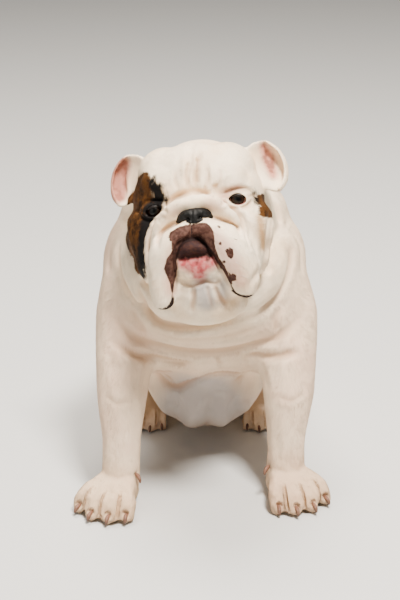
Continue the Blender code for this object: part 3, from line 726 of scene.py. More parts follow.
def grain(tree, size, detail=3.0, stretch=(1, 1, 1)):
    """Noise on the object's own coordinates, with patches of this size in metres."""
    place = node(tree, "TexCoord").outputs["Object"]
    turn = node(tree, "Mapping", Vector=place, Scale=stretch).outputs["Vector"]
    return node(tree, "TexNoise", Vector=turn, Scale=1 / size, Detail=detail).outputs["Fac"]


def blended(tree, share, first, second, kind="MIX"):
    """first, with a share of second laid over it; either is a colour or a socket."""
    mix = node(tree, "Mix", {"data_type": "RGBA", "blend_type": kind})
    fill(tree, mix.inputs["Factor"], share)
    fill(tree, mix.inputs[6], first)
    fill(tree, mix.inputs[7], second)
    return mix.outputs[2]


def computed(tree, kind, first, second=0.5, third=0.5):
    made = node(tree, "Math", {"operation": kind})
    for socket, value in zip(made.inputs, (first, second, third)):
        fill(tree, socket, value)
    return made.outputs[0]


def ranged(tree, value, low, high, to_low=0.0, to_high=1.0):
    made = node(tree, "MapRange", {"interpolation_type": "SMOOTHSTEP"}, Value=value)
    made.inputs["From Min"].default_value = low
    made.inputs["From Max"].default_value = high
    made.inputs["To Min"].default_value = to_low
    made.inputs["To Max"].default_value = to_high
    return made.outputs[0]


def ragged(tree, name, fray, size, low=0.35, high=0.65):
    """A mark with a hairy border: its soft edge is moved in and out by noise."""
    shift = computed(tree, "MULTIPLY_ADD", grain(tree, size, 4, (1, 1, 0.35)), fray, -fray / 2)
    return ranged(tree, computed(tree, "ADD", amount(tree, name), shift), low, high)


# Colours, as linear red, green and blue
CREAM = (0.91, 0.76, 0.57)
WARM_CREAM = (0.86, 0.65, 0.43)
BODY_CREAM = (0.78, 0.60, 0.44)
BODY_PINK = (0.76, 0.51, 0.38)
HAIR_LINE = (0.68, 0.53, 0.37)
HAIR_SHADE = (0.60, 0.45, 0.31)
# Tan painted shade in the folds
FOLD_SHADE_TAN = (0.38, 0.21, 0.115)
BRINDLE_LIGHT = (0.125, 0.054, 0.015)
BRINDLE_TAN = (0.062, 0.024, 0.006)
BRINDLE_DARK = (0.009, 0.004, 0.002)
HAIR_BLACK = (0.005, 0.004, 0.004)
LIP_BROWN = (0.034, 0.013, 0.009)
LIP_GREY = (0.072, 0.034, 0.025)
# Dark of the lip edges, also painted shadow in the gap of the mouth
LIP_DARK = (0.012, 0.005, 0.0045)
LIP_WINE = (0.021, 0.0085, 0.0085)
SKIN_PINK = (0.36, 0.064, 0.068)
SKIN_PALE = (0.44, 0.17, 0.155)
EAR_PINK = (0.56, 0.27, 0.20)
EAR_BROWN = (0.30, 0.125, 0.090)
# Tan of the stains, also painted shade round the left eye and in the brow's furrow
TEAR_STAIN_AND_SHADE_TAN = (0.42, 0.24, 0.105)
# Grey of thin hair over grey skin, also painted shade under the chest and chin
THIN_HAIR_AND_SHADE_GREY = (0.40, 0.36, 0.34)
NOSE_BLACK = (0.003, 0.003, 0.003)
NOSE_GREY = (0.009, 0.009, 0.009)
EYE_RAYS = (0.02, 0.008, 0.004)
LID_BLACK = (0.005, 0.003, 0.003)
LID_PINK = (0.30, 0.085, 0.075)
CLAW_ROOT = (0.17, 0.080, 0.050)
CLAW_TIP = (0.085, 0.042, 0.027)
CLAW_LINE = (0.30, 0.16, 0.11)
WHISKER_PALE = (0.78, 0.74, 0.68)
WHISKER_DARK = (0.55, 0.48, 0.40)
FLOOR_GREY = (0.56, 0.56, 0.55)
# Laid over the cream: random tone per tuft, grey for thin hair and painted shade under the chest and chin,
# tan painted shade in the folds
COAT_SHADES = (("shade", 0.14, HAIR_SHADE), ("grey", 0.95, THIN_HAIR_AND_SHADE_GREY), ("fold", 0.62, FOLD_SHADE_TAN))


def along_hair(tree, size, detail=2.0):
    """Noise drawn out along the hair: down the sides, and from front to back on what faces up."""
    down = grain(tree, size, detail, (1, 1, 0.18))
    back = grain(tree, size, detail, (1, 0.18, 1))
    return node(tree, "Mix", {"data_type": "FLOAT"}, Factor=amount(tree, "level"), A=down, B=back).outputs[0]


def cream_colour(tree):
    """The pale coat: warm and pink patches on the body, fine lines along the hair, grey for thin hair and
    painted shade under the chest and chin, tan painted shade in the folds, and stains.
    """
    colour = blended(tree, ranged(tree, grain(tree, 0.05), 0.4, 0.75), CREAM, WARM_CREAM)
    body = amount(tree, "sallow")
    sallow = computed(tree, "MULTIPLY", body, ranged(tree, grain(tree, 0.03), 0.2, 0.7, 0.55, 1.0))
    colour = blended(tree, sallow, colour, BODY_CREAM)
    flush = computed(tree, "MULTIPLY", body, ranged(tree, grain(tree, 0.085, 2), 0.42, 0.7, 0, 0.55))
    colour = blended(tree, flush, colour, BODY_PINK)
    colour = blended(tree, ranged(tree, along_hair(tree, 0.0016), 0.3, 0.7, 0, 0.22), colour, HAIR_LINE)
    # Random tone, then grey thin hair and painted shade, then painted shade in the folds
    for name, share, over in COAT_SHADES:
        colour = blended(tree, computed(tree, "MULTIPLY", amount(tree, name), share), colour, over)
    # Stains, with painted shade round the left eye and in the brow's furrow
    return blended(tree, amount(tree, "stain_and_shade"), colour, TEAR_STAIN_AND_SHADE_TAN)


def brindle_colour(tree):
    """Dark stripes on tan, with lighter single hairs."""
    stripes = ranged(tree, grain(tree, 0.012, 3, (1.6, 1, 0.5)), 0.42, 0.6)
    fine = ranged(tree, along_hair(tree, 0.0015), 0.3, 0.7, 0, 0.4)
    return blended(tree, fine, blended(tree, stripes, BRINDLE_TAN, BRINDLE_DARK), BRINDLE_LIGHT)


def coat_colour(tree):
    """The colours of the dog and its painted shade, the same on its skin and on its coat."""
    pink = blended(tree, ranged(tree, grain(tree, 0.006), 0.35, 0.7), SKIN_PINK, SKIN_PALE)
    colour = blended(tree, amount(tree, "pink"), cream_colour(tree), pink)
    cup = blended(tree, ranged(tree, grain(tree, 0.010, 4), 0.42, 0.62), EAR_PINK, EAR_BROWN)
    colour = blended(tree, amount(tree, "ear"), colour, cup)
    # Painted shade over the right ear's cup
    colour = blended(tree, amount(tree, "ear_shade"), colour, EAR_BROWN)
    colour = blended(tree, ragged(tree, "brindle", 0.5, 0.004), colour, brindle_colour(tree))
    colour = blended(tree, ragged(tree, "black", 1.3, 0.005, 0.2, 0.8), colour, HAIR_BLACK)
    mauve = blended(tree, ranged(tree, grain(tree, 0.005, 3), 0.4, 0.65), LIP_BROWN, LIP_GREY)
    colour = blended(tree, ragged(tree, "pigment", 0.6, 0.004), colour, mauve)
    wine = blended(tree, ranged(tree, grain(tree, 0.004, 4), 0.42, 0.62), LIP_WINE, LIP_BROWN)
    colour = blended(tree, ragged(tree, "lip", 0.9, 0.005, 0.15, 0.85), colour, wine)
    # Dark lip edges, also painted shadow in the gap of the mouth
    return blended(tree, ragged(tree, "dark", 0.4, 0.003), colour, LIP_DARK)


def skin_material():
    """Bare skin and the roots of the coat."""
    material, tree, shader = new_material("bulldog_skin", Roughness=0.7, Specular_IOR_Level=0.1)
    coloured(tree, shader, coat_colour(tree))
    pores = computed(tree, "MULTIPLY", grain(tree, 0.0022), 0.5)
    bumped(tree, shader, computed(tree, "ADD", along_hair(tree, 0.0011, 3), pores), 0.4, 0.0006)
    shader.inputs["Subsurface Weight"].default_value = 0.08
    shader.inputs["Subsurface Radius"].default_value = (0.006, 0.003, 0.002)
    shader.inputs["Subsurface Scale"].default_value = 1.0
    return material


def coat_material():
    material, tree, shader = new_material("bulldog_coat", Roughness=0.6, Specular_IOR_Level=0.08)
    coloured(tree, shader, coat_colour(tree))
    bumped(tree, shader, along_hair(tree, 0.0009), 0.25, 0.0003)
    return material


def nose_material():
    """Black pebbled leather, with patches of grey."""
    material, tree, shader = new_material("bulldog_nose", Roughness=0.48, Specular_IOR_Level=0.14)
    grey = ranged(tree, grain(tree, 0.008), 0.35, 0.7)
    coloured(tree, shader, blended(tree, grey, NOSE_BLACK, NOSE_GREY))
    place = node(tree, "TexCoord").outputs["Object"]
    cells = node(tree, "TexVoronoi", {"feature": "DISTANCE_TO_EDGE"}, Vector=place, Scale=620.0)
    bumped(tree, shader, ranged(tree, cells.outputs["Distance"], 0.0, 0.25), 0.4, 0.00025)
    return material


# The eye's rings: the angle from its line of sight in degrees, and the colour there
EYE_RINGS = (
    (0, (0.001, 0.001, 0.001)),
    (15, (0.001, 0.001, 0.001)),
    (18, (0.004, 0.0016, 0.0009)),
    (31, (0.013, 0.0046, 0.0020)),
    (37, (0.005, 0.0022, 0.0012)),
    (40, (0.004, 0.0020, 0.0016)),
    (44, (0.26, 0.12, 0.10)),
    (60, (0.44, 0.26, 0.22)),
)
LAST_RING = 60


def eye_material():
    """Pupil, dark brown iris, its dark edge and the white, with fine rays in the iris."""
    material, tree, shader = new_material("bulldog_eye", Roughness=0.3, Specular_IOR_Level=0.05)
    angle = computed(tree, "DIVIDE", amount(tree, "angle"), LAST_RING)
    ramp = node(tree, "ValToRGB", Fac=angle)
    while len(ramp.color_ramp.elements) < len(EYE_RINGS):
        ramp.color_ramp.elements.new(0.5)
    for element, (at, colour) in zip(ramp.color_ramp.elements, EYE_RINGS):
        element.position = at / LAST_RING
        element.color = (*colour, 1)
    rays = ranged(tree, grain(tree, 0.0012, 3), 0.35, 0.65, 0, 0.4)
    coloured(tree, shader, blended(tree, rays, ramp.outputs["Color"], EYE_RAYS, "MULTIPLY"))
    shader.inputs["Coat Weight"].default_value = 0.3
    shader.inputs["Coat Roughness"].default_value = 0.03
    return material


def lid_material():
    """The wet dark rim of a lid, pinker towards its lower outer end."""
    material, tree, shader = new_material("bulldog_lid", Roughness=0.4, Specular_IOR_Level=0.25)
    coloured(tree, shader, blended(tree, amount(tree, "pink"), LID_BLACK, LID_PINK))
    bumped(tree, shader, grain(tree, 0.0008), 0.3, 0.0002)
    return material


def claw_material():
    """Horn, pink at the root and browner at the tip, with fine lines along it."""
    material, tree, shader = new_material("bulldog_claw", Roughness=0.48, Specular_IOR_Level=0.3)
    colour = blended(tree, ranged(tree, amount(tree, "tip"), 0.1, 0.95), CLAW_ROOT, CLAW_TIP)
    lines = ranged(tree, grain(tree, 0.0009, 2, (1, 1, 0.25)), 0.35, 0.7, 0, 0.35)
    coloured(tree, shader, blended(tree, lines, colour, CLAW_LINE))
    bumped(tree, shader, grain(tree, 0.0007, 2, (1, 1, 0.25)), 0.25, 0.0002)
    return material


def whisker_material():
    material, tree, shader = new_material("bulldog_whisker", Roughness=0.4)
    coloured(tree, shader, blended(tree, grain(tree, 0.004), WHISKER_PALE, WHISKER_DARK))
    return material


# Skin
FORM_VOXEL = 5 * MM
FORM_ROUNDS = 26
FORM_SWELL = 1.2 * MM
BODY_ROUNDS = 50
FACE_ROUNDS = 12


def draw_to_form(skin):
    """Takes the flat faces of the solids off the body, by drawing it to a coarser and smoother copy."""
    pick(skin)
    bpy.ops.object.duplicate()
    form = bpy.context.object
    shaped(form, "REMESH", mode="VOXEL", voxel_size=FORM_VOXEL)
    shaped(form, "SMOOTH", factor=0.5, iterations=FORM_ROUNDS)
    shaped(form, "DISPLACE", strength=FORM_SWELL, mid_level=0)
    shaped(form, "SUBSURF", levels=1)
    spots = spots_of(skin)
    _, y, z = ((spots - np.array(SHIFT)) / MM).T
    forelegs = fading(y, -95, 30) * fading(z, 225, 30)
    paws, tail, chest = fading(z, 72, 30), fading(-y, -230, 20), fading(y, -100, 20)
    broad = (1 - near_face(spots)) * (1 - forelegs) * (1 - paws) * (1 - tail) * (1 - 0.75 * chest)
    name = weigh(skin, "broad", broad)
    shaped(skin, "SHRINKWRAP", target=form, wrap_method="NEAREST_SURFACEPOINT", vertex_group=name)
    bpy.data.objects.remove(form)


def open_lids(skin):
    """Draws the skin back from each eye as far as the rim of the lids."""
    spots = spots_of(skin)
    seen = seen_from(FACE, spots)
    for _, side in SIDES:
        tilt = math.radians(side * LID_TILT)
        across = seen[:, 0] - side * EYE_X
        up = seen[:, 2] - LID_UP
        x = across * math.cos(tilt) - up * math.sin(tilt)
        z = across * math.sin(tilt) + up * math.cos(tilt)
        droop = side * LID_DROOP * np.clip(-z / LID_BELOW, 0, 1)
        high = np.where(z > 0, LID_ABOVE, LID_BELOW)
        out = np.maximum(np.sqrt(((x - droop) / LID_WIDE) ** 2 + (z / high) ** 2), 0.05)
        more = ((out**4 + 1) ** 0.25 / out - 1) * fading(seen[:, 1], 15, 4) * (out < 3)
        x, z = x * more, z * more
        seen[:, 0] += x * math.cos(tilt) + z * math.sin(tilt)
        seen[:, 2] += -x * math.sin(tilt) + z * math.cos(tilt)
    place_spots(skin, placed(FACE, seen))


def make_skin():
    """One skin over all the flesh, its folds finer than the solids', inside them by the coat's depth."""
    skin = joined_copy("skin", FLESH)
    shaped(skin, "DISPLACE", strength=JOIN, mid_level=0)
    shaped(skin, "REMESH", mode="VOXEL", voxel_size=SKIN_VOXEL)
    draw_to_form(skin)
    spots = spots_of(skin)
    crisp = np.maximum(near_face(spots), near_paws(spots))
    body = weigh(skin, "body", 1 - crisp)
    shaped(skin, "SMOOTH", factor=0.5, iterations=BODY_ROUNDS, vertex_group=body)
    calm = weigh(skin, "calm", 1 - near_eyes(spots))
    shaped(skin, "SMOOTH", factor=0.5, iterations=FACE_ROUNDS, vertex_group=calm)
    surface = surface_of(skin)
    lines = landed(surface, face_strokes() + brow_strokes(), FACE)
    lines += landed(surface, skull_strokes(), SKULL) + landed(surface, chest_strokes(), FRONT)
    lines += all_round(surface)
    for paw in PAWS:
        lines += toe_lines(surface, paw)
    deep = press(skin, lines)
    shaped(skin, "SMOOTH", factor=0.5, iterations=1)
    open_lids(skin)
    spots = spots_of(skin)
    thin = COAT_DEPTH * (1 - 0.6 * near_face(spots)) * (1 - near_eyes(spots))
    spots -= normals_of(skin) * thin[:, None]
    spots[:, 2] = np.maximum(spots[:, 2], CAD_LOW.z)
    place_spots(skin, spots)
    # How deep each vertex lies in a fold, for the painted shade there
    stored(skin, {"fold": deep})
    shaped(skin, "DECIMATE", ratio=SKIN_TRIANGLES / (2 * len(skin.data.polygons)))
    skin.vertex_groups.clear()
    stored(skin, marks(spots_of(skin), normals_of(skin)))
    pick(skin)
    bpy.ops.object.shade_smooth()
    skin.data.materials.append(skin_material())
    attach(skin, "root")
    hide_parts(*FLESH)
    return skin


# Coat
LAYOUT_TRIANGLES = 12000


def unwrapped(skin):
    """A light copy of the skin, unwrapped by its own shape: its spots, triangles and corners on the map."""
    pick(skin)
    bpy.ops.object.duplicate()
    layout = bpy.context.object
    shaped(layout, "DECIMATE", ratio=LAYOUT_TRIANGLES / SKIN_TRIANGLES)
    shaped(layout, "TRIANGULATE")
    edited(layout, bpy.ops.uv.smart_project, angle_limit=math.radians(66), island_margin=0.003)
    spots = spots_of(layout)
    corners = read(layout.data.loops, "vertex_index", kind=int).reshape(-1, 3)
    places = read(layout.data.uv_layers.active.data, "uv", 2).reshape(-1, 3, 2)
    bpy.data.objects.remove(layout)
    return spots, corners, places


def map_places(spots, layout):
    """Where each spot lies on the unwrapped map."""
    known, corners, places = layout
    tree = BVHTree.FromPolygons(known.tolist(), corners.tolist())
    found = np.array([tree.find_nearest(spot)[2] for spot in spots.tolist()])
    a, b, c = (known[corners[found, k]] for k in range(3))
    u, v, w = b - a, c - a, spots - a
    uu, uv, vv = (u * u).sum(1), (u * v).sum(1), (v * v).sum(1)
    wu, wv = (w * u).sum(1), (w * v).sum(1)
    under = np.maximum(uu * vv - uv * uv, 1e-16)
    s = np.clip((vv * wu - uv * wv) / under, 0, 1)
    t = np.clip((uu * wv - uv * wu) / under, 0, 1)
    shares = np.stack([1 - s - t, s, t], axis=1)
    return (places[found] * shares[:, :, None]).sum(1)


NOSE_TIP = (-2, -34, -12)
DOWN_BODY = np.array((0, 0.6, -0.8))
DOWN_LEGS = np.array((0, 0.05, -1))
OVER_TOES = np.array((0, -0.8, -0.55))
ELBOW_HEIGHT = 0.20
TOES_TOP = 0.055


def lie(spots, facing):
    """The way the coat lies: back and down the body, down the legs, away from the nose on the head."""
    away = seen_from(FACE, spots) - NOSE_TIP
    turn = np.array(FACE.to_3x3()) / MM
    from_nose = away / np.linalg.norm(away, axis=1)[:, None] @ turn.T
    on_head = near_face(spots)[:, None]
    low = fading(spots[:, 2], ELBOW_HEIGHT, 0.08)[:, None]
    toes = (near_paws(spots) * (spots[:, 2] < TOES_TOP))[:, None]
    down = DOWN_BODY * (1 - low) + DOWN_LEGS * low
    way = down * (1 - toes) + OVER_TOES * toes
    way = way * (1 - on_head) + from_nose * on_head
    way = way - facing * (way * facing).sum(1)[:, None]
    return way / np.maximum(np.linalg.norm(way, axis=1), 1e-9)[:, None]


# A tuft's size on the body, and what it loses on the head, by the muzzle and eyes, and on the paws
TUFT_LONG = (6.4, 2.2, 1.6, 2.4)
TUFT_WIDE = (0.66, 0.12, 0.16, 0.12)
TUFT_LIFT = (0.32, 0.07, 0.09, 0.07)


def tuft_sizes(spots):
    """Length, width and lift of a tuft at each spot, in metres: smallest on the face and the feet."""
    places = (near_face(spots), np.maximum(near_muzzle(spots), near_eyes(spots)), near_paws(spots))
    long, wide, lift = (
        (size - sum(loss * there for loss, there in zip(losses, places))) * MM
        for size, *losses in (TUFT_LONG, TUFT_WIDE, TUFT_LIFT)
    )
    ears = soft(np.max([within(seen_from(FACE, spots), chain) for chain in EAR_CUPS], axis=0) + 14, 10)
    return long * (1 - 0.45 * ears), wide, lift * (1 - 0.4 * ears)


SOLE = 1.5 * MM


def coat_roots(skin, draw):
    """Random roots on the skin, closer together on the head, with all that the skin keeps there."""
    mesh = skin.data
    mesh.calc_loop_triangles()
    corners = read(mesh.loop_triangles, "vertices", 3, int)
    spots, facing = spots_of(skin), normals_of(skin)
    layers = [layer for layer in mesh.attributes if layer.data_type == "FLOAT" and layer.domain == "POINT"]
    kept = {layer.name: read(layer.data, "value", kind=np.float32) for layer in layers}
    a, b, c = (spots[corners[:, k]] for k in range(3))
    area = np.linalg.norm(np.cross(b - a, c - a), axis=1) / 2
    bare = kept["pigment"] + kept["dark"] + kept["lip"] + kept["ear"] + 0.9 * kept["pink"]
    bare = np.clip(bare, 0, 1)
    wanted = (1 + 1.6 * near_face(spots) + 0.8 * near_muzzle(spots) + 0.6 * near_paws(spots)) * (1 - bare)
    wanted *= 1 - 0.4 * (near_eyes(spots) > 0.97)
    wanted *= spots[:, 2] > SOLE
    odds = area * wanted[corners].mean(axis=1)
    chosen = draw.choice(len(corners), TUFTS, p=odds / odds.sum())
    s, t = draw.random(TUFTS), draw.random(TUFTS)
    over = s + t > 1
    s[over], t[over] = 1 - s[over], 1 - t[over]
    shares = np.stack([1 - s - t, s, t], axis=1)
    corners = corners[chosen]
    found = (spots[corners] * shares[:, :, None]).sum(1)
    normals = (facing[corners] * shares[:, :, None]).sum(1)
    normals /= np.linalg.norm(normals, axis=1)[:, None]
    return found, normals, {name: (values[corners] * shares).sum(1) for name, values in kept.items()}


# A tuft's root is sunk this deep, its ridge stands this high, and its patch on the map has this half width
ROOT_DEPTH = 0.12 * MM
RIDGE = 0.07 * MM
PATCH = 0.0015
TUFT_FACES = np.array([(0, 2, 1), (0, 3, 2), (1, 2, 3), (0, 1, 3)])
TUFT_PATCH = np.array([(-PATCH, -PATCH), (PATCH, -PATCH), (0, 0), (0, PATCH)])


def mesh_of(name, corners, faces):
    """A mesh of triangles."""
    mesh = bpy.data.meshes.new(name)
    mesh.vertices.add(len(corners))
    mesh.vertices.foreach_set("co", corners.ravel())
    mesh.loops.add(faces.size)
    mesh.loops.foreach_set("vertex_index", faces.ravel())
    mesh.polygons.add(len(faces))
    mesh.polygons.foreach_set("loop_start", np.arange(0, faces.size, 3))
    mesh.update(calc_edges=True)
    return mesh


def tuft_piece(name, roots, facing, kept, places, draw):
    """Thin pointed tufts as one piece: each is a flat sliver with its root sunk in the skin."""
    count = len(roots)
    way = lie(roots, facing)
    across = np.cross(facing, way)
    swirl = 0.2 * np.sin(roots @ (70, 25, 50)) * np.cos(roots @ (-20, 60, 35))
    swing = (draw.normal(0, 0.15, count) + swirl)[:, None]
    way = way * np.cos(swing) + across * np.sin(swing)
    across = np.cross(facing, way)
    long, wide, lift = (size[:, None] for size in tuft_sizes(roots))
    run = way * long * draw.uniform(0.75, 1.25, (count, 1))
    rise = facing * (lift * draw.uniform(0.6, 1.3, (count, 1)) + ROOT_DEPTH)
    root = roots - facing * ROOT_DEPTH
    left, right = root - across * wide / 2, root + across * wide / 2
    ridge = root + 0.3 * run + 0.3 * rise + facing * RIDGE
    corners = np.stack([left, right, ridge, root + run + rise], axis=1).reshape(-1, 3)
    faces = (TUFT_FACES[None] + 4 * np.arange(count)[:, None, None]).reshape(-1, 3)
    mesh = mesh_of(name, np.clip(corners, CAD_LOW, CAD_HIGH), faces)
    lean = facing + across * draw.normal(0, 0.16, (count, 1)) + way * draw.normal(0.1, 0.12, (count, 1))
    mesh.normals_split_custom_set_from_vertices(np.repeat(lean, 4, axis=0).tolist())
    patches = (places[:, None] + TUFT_PATCH[None]).reshape(-1, 2)
    layer = mesh.uv_layers.new(name="OFBake")
    layer.data.foreach_set("uv", patches[faces.ravel()].ravel())
    piece = bpy.data.objects.new(name, mesh)
    bpy.context.scene.collection.objects.link(piece)
    stored(piece, {key: np.repeat(values, 4) for key, values in kept.items()})
    stored(piece, {"shade": np.repeat(draw.random(count), 4)})
    return piece


MOST_TUFTS = 49500
FRONT_END = -0.03
LEGS_TOP = 0.21
HAUNCH_TOP = 0.1
HAUNCH_START = 0.17


def coat_parts(roots):
    """Which roots each piece of the coat may take. A piece takes what the ones before it leave."""
    head = near_face(roots)
    aside, back, high = roots.T
    front = back < FRONT_END
    return {
        "coat_face": (head > 0.55) & (seen_from(FACE, roots)[:, 1] < 15),
        "coat_head_left": (head > 0.25) & (aside > FACE_ORIGIN.x),
        "coat_head_right": head > 0.25,
        "coat_chest": front & (high > LEGS_TOP),
        "coat_foreleg_left": front & (aside > 0),
        "coat_foreleg_right": front,
        "coat_back": high > LEGS_TOP,
        "coat_belly": (high > HAUNCH_TOP) & (back < HAUNCH_START),
        "coat_haunch_left": aside > 0,
        "coat_haunch_right": aside <= 0,
    }


def make_coat(skin):
    """The short coat, in pieces of under 200,000 triangles each."""
    draw = np.random.default_rng(SEED)
    roots, facing, kept = coat_roots(skin, draw)
    places = map_places(roots, unwrapped(skin))
    left = np.ones(len(roots), bool)
    material = coat_material()
    for name, rule in coat_parts(roots).items():
        chosen = np.flatnonzero(rule & left)
        left[chosen] = False
        if len(chosen) > MOST_TUFTS:
            chosen = draw.permutation(chosen)[:MOST_TUFTS]
        some = {key: values[chosen] for key, values in kept.items()}
        piece = tuft_piece(name, roots[chosen], facing[chosen], some, places[chosen], draw)
        piece.data.materials.append(material)
        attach(piece, "root")


# Eyes and lids
GAZE_LIFT = 4
GAZE_ASIDE = -0.09
IRIS_EDGE = 40
RIGHT_IRIS = 0.82
CORNEA = 0.8


def make_eye(word, side, material):
    """An eyeball with its cornea swelling forward over the iris."""
    middle = FACE @ Vector((side * EYE_X, EYE_BACK, 0))
    gaze = (Vector((GAZE_ASIDE, -1, math.tan(math.radians(CAMERA_HEIGHT - GAZE_LIFT))))).normalized()
    turn = gaze.to_track_quat("Z", "Y")
    bpy.ops.mesh.primitive_uv_sphere_add(segments=64, ring_count=40, radius=EYE_RADIUS * MM)
    eye = bpy.context.object
    eye.name = f"eye_{word}_ball"
    spots = spots_of(eye)
    angle = np.degrees(np.arccos(np.clip(spots[:, 2] / np.linalg.norm(spots, axis=1), -1, 1)))
    bulge = CORNEA * MM * np.clip(1 - (angle / IRIS_EDGE) ** 2, 0, 1)
    spots += spots / np.linalg.norm(spots, axis=1)[:, None] * bulge[:, None]
    place_spots(eye, placed(Matrix.Translation(middle) @ turn.to_matrix().to_4x4(), spots))
    stored(eye, {"angle": angle * (1 if side > 0 else RIGHT_IRIS)})
    eye.data.materials.append(material)
    pick(eye)
    bpy.ops.object.shade_smooth()
    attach(eye, "root")
    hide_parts(f"eye_{word}")


LID_WIDE = 9.9
LID_ABOVE = 5.0
LID_BELOW = 6.8
LID_DROOP = 1.8
LID_TILT = 6
LID_UP = -0.6
LID_RIM = 1.5
LID_ON_EYE = 0.35
RING = 0.25


def across_of(way, along):
    """The part of each way that lies square to along, as a unit vector."""
    square = way - along * (way * along).sum(1)[:, None]
    return square / np.linalg.norm(square, axis=1)[:, None]


def make_lids(word, side, material):
    """The rim of the two lids: a ring laid on the eyeball, thicker above."""
    bpy.ops.mesh.primitive_torus_add(major_segments=72, minor_segments=14, major_radius=1, minor_radius=RING)
    rim = bpy.context.object
    rim.name = f"lids_{word}"
    spots = spots_of(rim)
    round_eye = np.arctan2(spots[:, 1], spots[:, 0])
    ring = np.stack([np.cos(round_eye), np.sin(round_eye)], axis=1)
    out = (spots[:, :2] * ring).sum(1) - 1
    up = np.sin(round_eye)
    thick = LID_RIM * (1 + 0.45 * up) / RING
    pointed = 1 + 0.10 * np.abs(ring[:, 0]) ** 3
    tilt = math.radians(side * LID_TILT)
    flat_x = ring[:, 0] * LID_WIDE * pointed + side * LID_DROOP * np.clip(-up, 0, 1)
    flat_z = ring[:, 1] * np.where(up > 0, LID_ABOVE, LID_BELOW)
    x = flat_x * math.cos(tilt) + flat_z * math.sin(tilt)
    z = -flat_x * math.sin(tilt) + flat_z * math.cos(tilt)
    ball = EYE_RADIUS + LID_ON_EYE
    depth = np.sqrt(ball**2 - x**2 - z**2)
    away = np.stack([x, -depth, z], axis=1) / ball
    aside = across_of(np.stack([x, np.zeros_like(x), z], axis=1), away)
    lifted = away * (ball + (spots[:, 2] * thick)[:, None]) + aside * (out * thick)[:, None]
    place_spots(rim, placed(FACE, lifted + (side * EYE_X, EYE_BACK, LID_UP)))
    outer_low = np.clip(side * ring[:, 0] * 0.7 - ring[:, 1] * 0.9 - 0.35, 0, 1)
    stored(rim, {"pink": outer_low * (side > 0)})
    edited(rim, bpy.ops.mesh.normals_make_consistent, inside=False)
    bpy.ops.object.shade_smooth()
    rim.data.materials.append(material)
    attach(rim, "root")


# Nose, claws and whiskers
NOSE_MIDDLE = -1.5
NOSE_HALF = 24.2
NOSE_ABOVE = 13.5
NOSE_BELOW = 7.5
NOSE_FORWARD = 13.5
NOSE_DIP = 3.0
NOSE_ROOT = (-22.5, -16.5)
NOSTRILS = (7.6, -17)


def nose_strokes():
    """The groove down the middle, and on each side the nostril, the slit beside it and the wing over it."""
    m = NOSE_MIDDLE
    across, height = NOSTRILS
    strokes = [([(m - 1, -6), (m - 2, -14), (m - 3, -25)], 1.5, 1.2)]
    for side in (1, -1):
        pit = [(across - 2, height + 1), (across, height), (across + 3, height - 1)]
        slit = [(across + 2, height - 1), (14, -20), (18.5, -19.5)]
        wing = [(4.5, -9), (12, -9.5), (17.5, -14)]
        for path, depth, width in ((pit, 4.2, 2.5), (slit, 2.6, 1.5), (wing, -1.1, 2.6)):
            strokes.append(([(m + side * x, z) for x, z in path], depth, width))
    return strokes


def make_nose():
    """The nose pad: a low dome, flat below, with two comma-shaped nostrils and a groove down its middle."""
    bpy.ops.mesh.primitive_uv_sphere_add(segments=128, ring_count=80, radius=1)
    nose = bpy.context.object
    nose.name = "nose_leather"
    spots = spots_of(nose)
    wide = np.sign(spots[:, 0]) * np.abs(spots[:, 0]) ** 0.9
    high = np.abs(spots[:, 2])
    up = np.where(spots[:, 2] > 0, NOSE_ABOVE * high**0.95, -NOSE_BELOW * high**0.8)
    dip = NOSE_DIP * np.exp(-((spots[:, 0] / 0.16) ** 2)) * np.clip(-spots[:, 2] * 2, 0, 1)
    front = np.where(spots[:, 1] < 0, -NOSE_FORWARD * np.abs(spots[:, 1]) ** 0.85, 8 * spots[:, 1])
    x = NOSE_HALF * wide
    back, low = NOSE_ROOT
    seen = np.stack([NOSE_MIDDLE + x, back + front + 0.011 * x**2, low + up - dip], axis=1)
    place_spots(nose, placed(FACE, seen))
    press(nose, landed(surface_of(nose), nose_strokes(), FACE))
    edited(nose, bpy.ops.mesh.normals_make_consistent, inside=False)
    bpy.ops.object.shade_smooth()
    nose.data.materials.append(nose_material())
    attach(nose, "root")
    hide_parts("nose")


DEWCLAW = [(-24, -5, 45, 3.2), (-29.5, -9, 43.5, 3.0), (-32.5, -11.5, 40, 2.3), (-33.3, -12.5, 36.5, 1.5)]
CLAW_POINTS = 60


def claw_paths(paw):
    """Each claw of a paw as points (x, y, z, radius) in its frame, from inside its toe to its blunt tip."""
    side = PAWS[paw][0]
    for fan in TOES:
        line = toe(side, *fan)
        x, y, z = line[-1]
        lean = (x - line[1][0]) * 0.12
        root = (x - lean, y + 1, z + 3.6, 3.3)
        bend = (x + lean * 0.8, y - 10.5, z + 0.2, 2.7)
        yield [root, (x, y - 6.5, z + 3, 3.2), bend, (x + lean, y - 12, z - 3.5, 1.9)]
    if paw.startswith("forepaw"):
        yield [(side * x, y, z, r) for x, y, z, r in DEWCLAW]


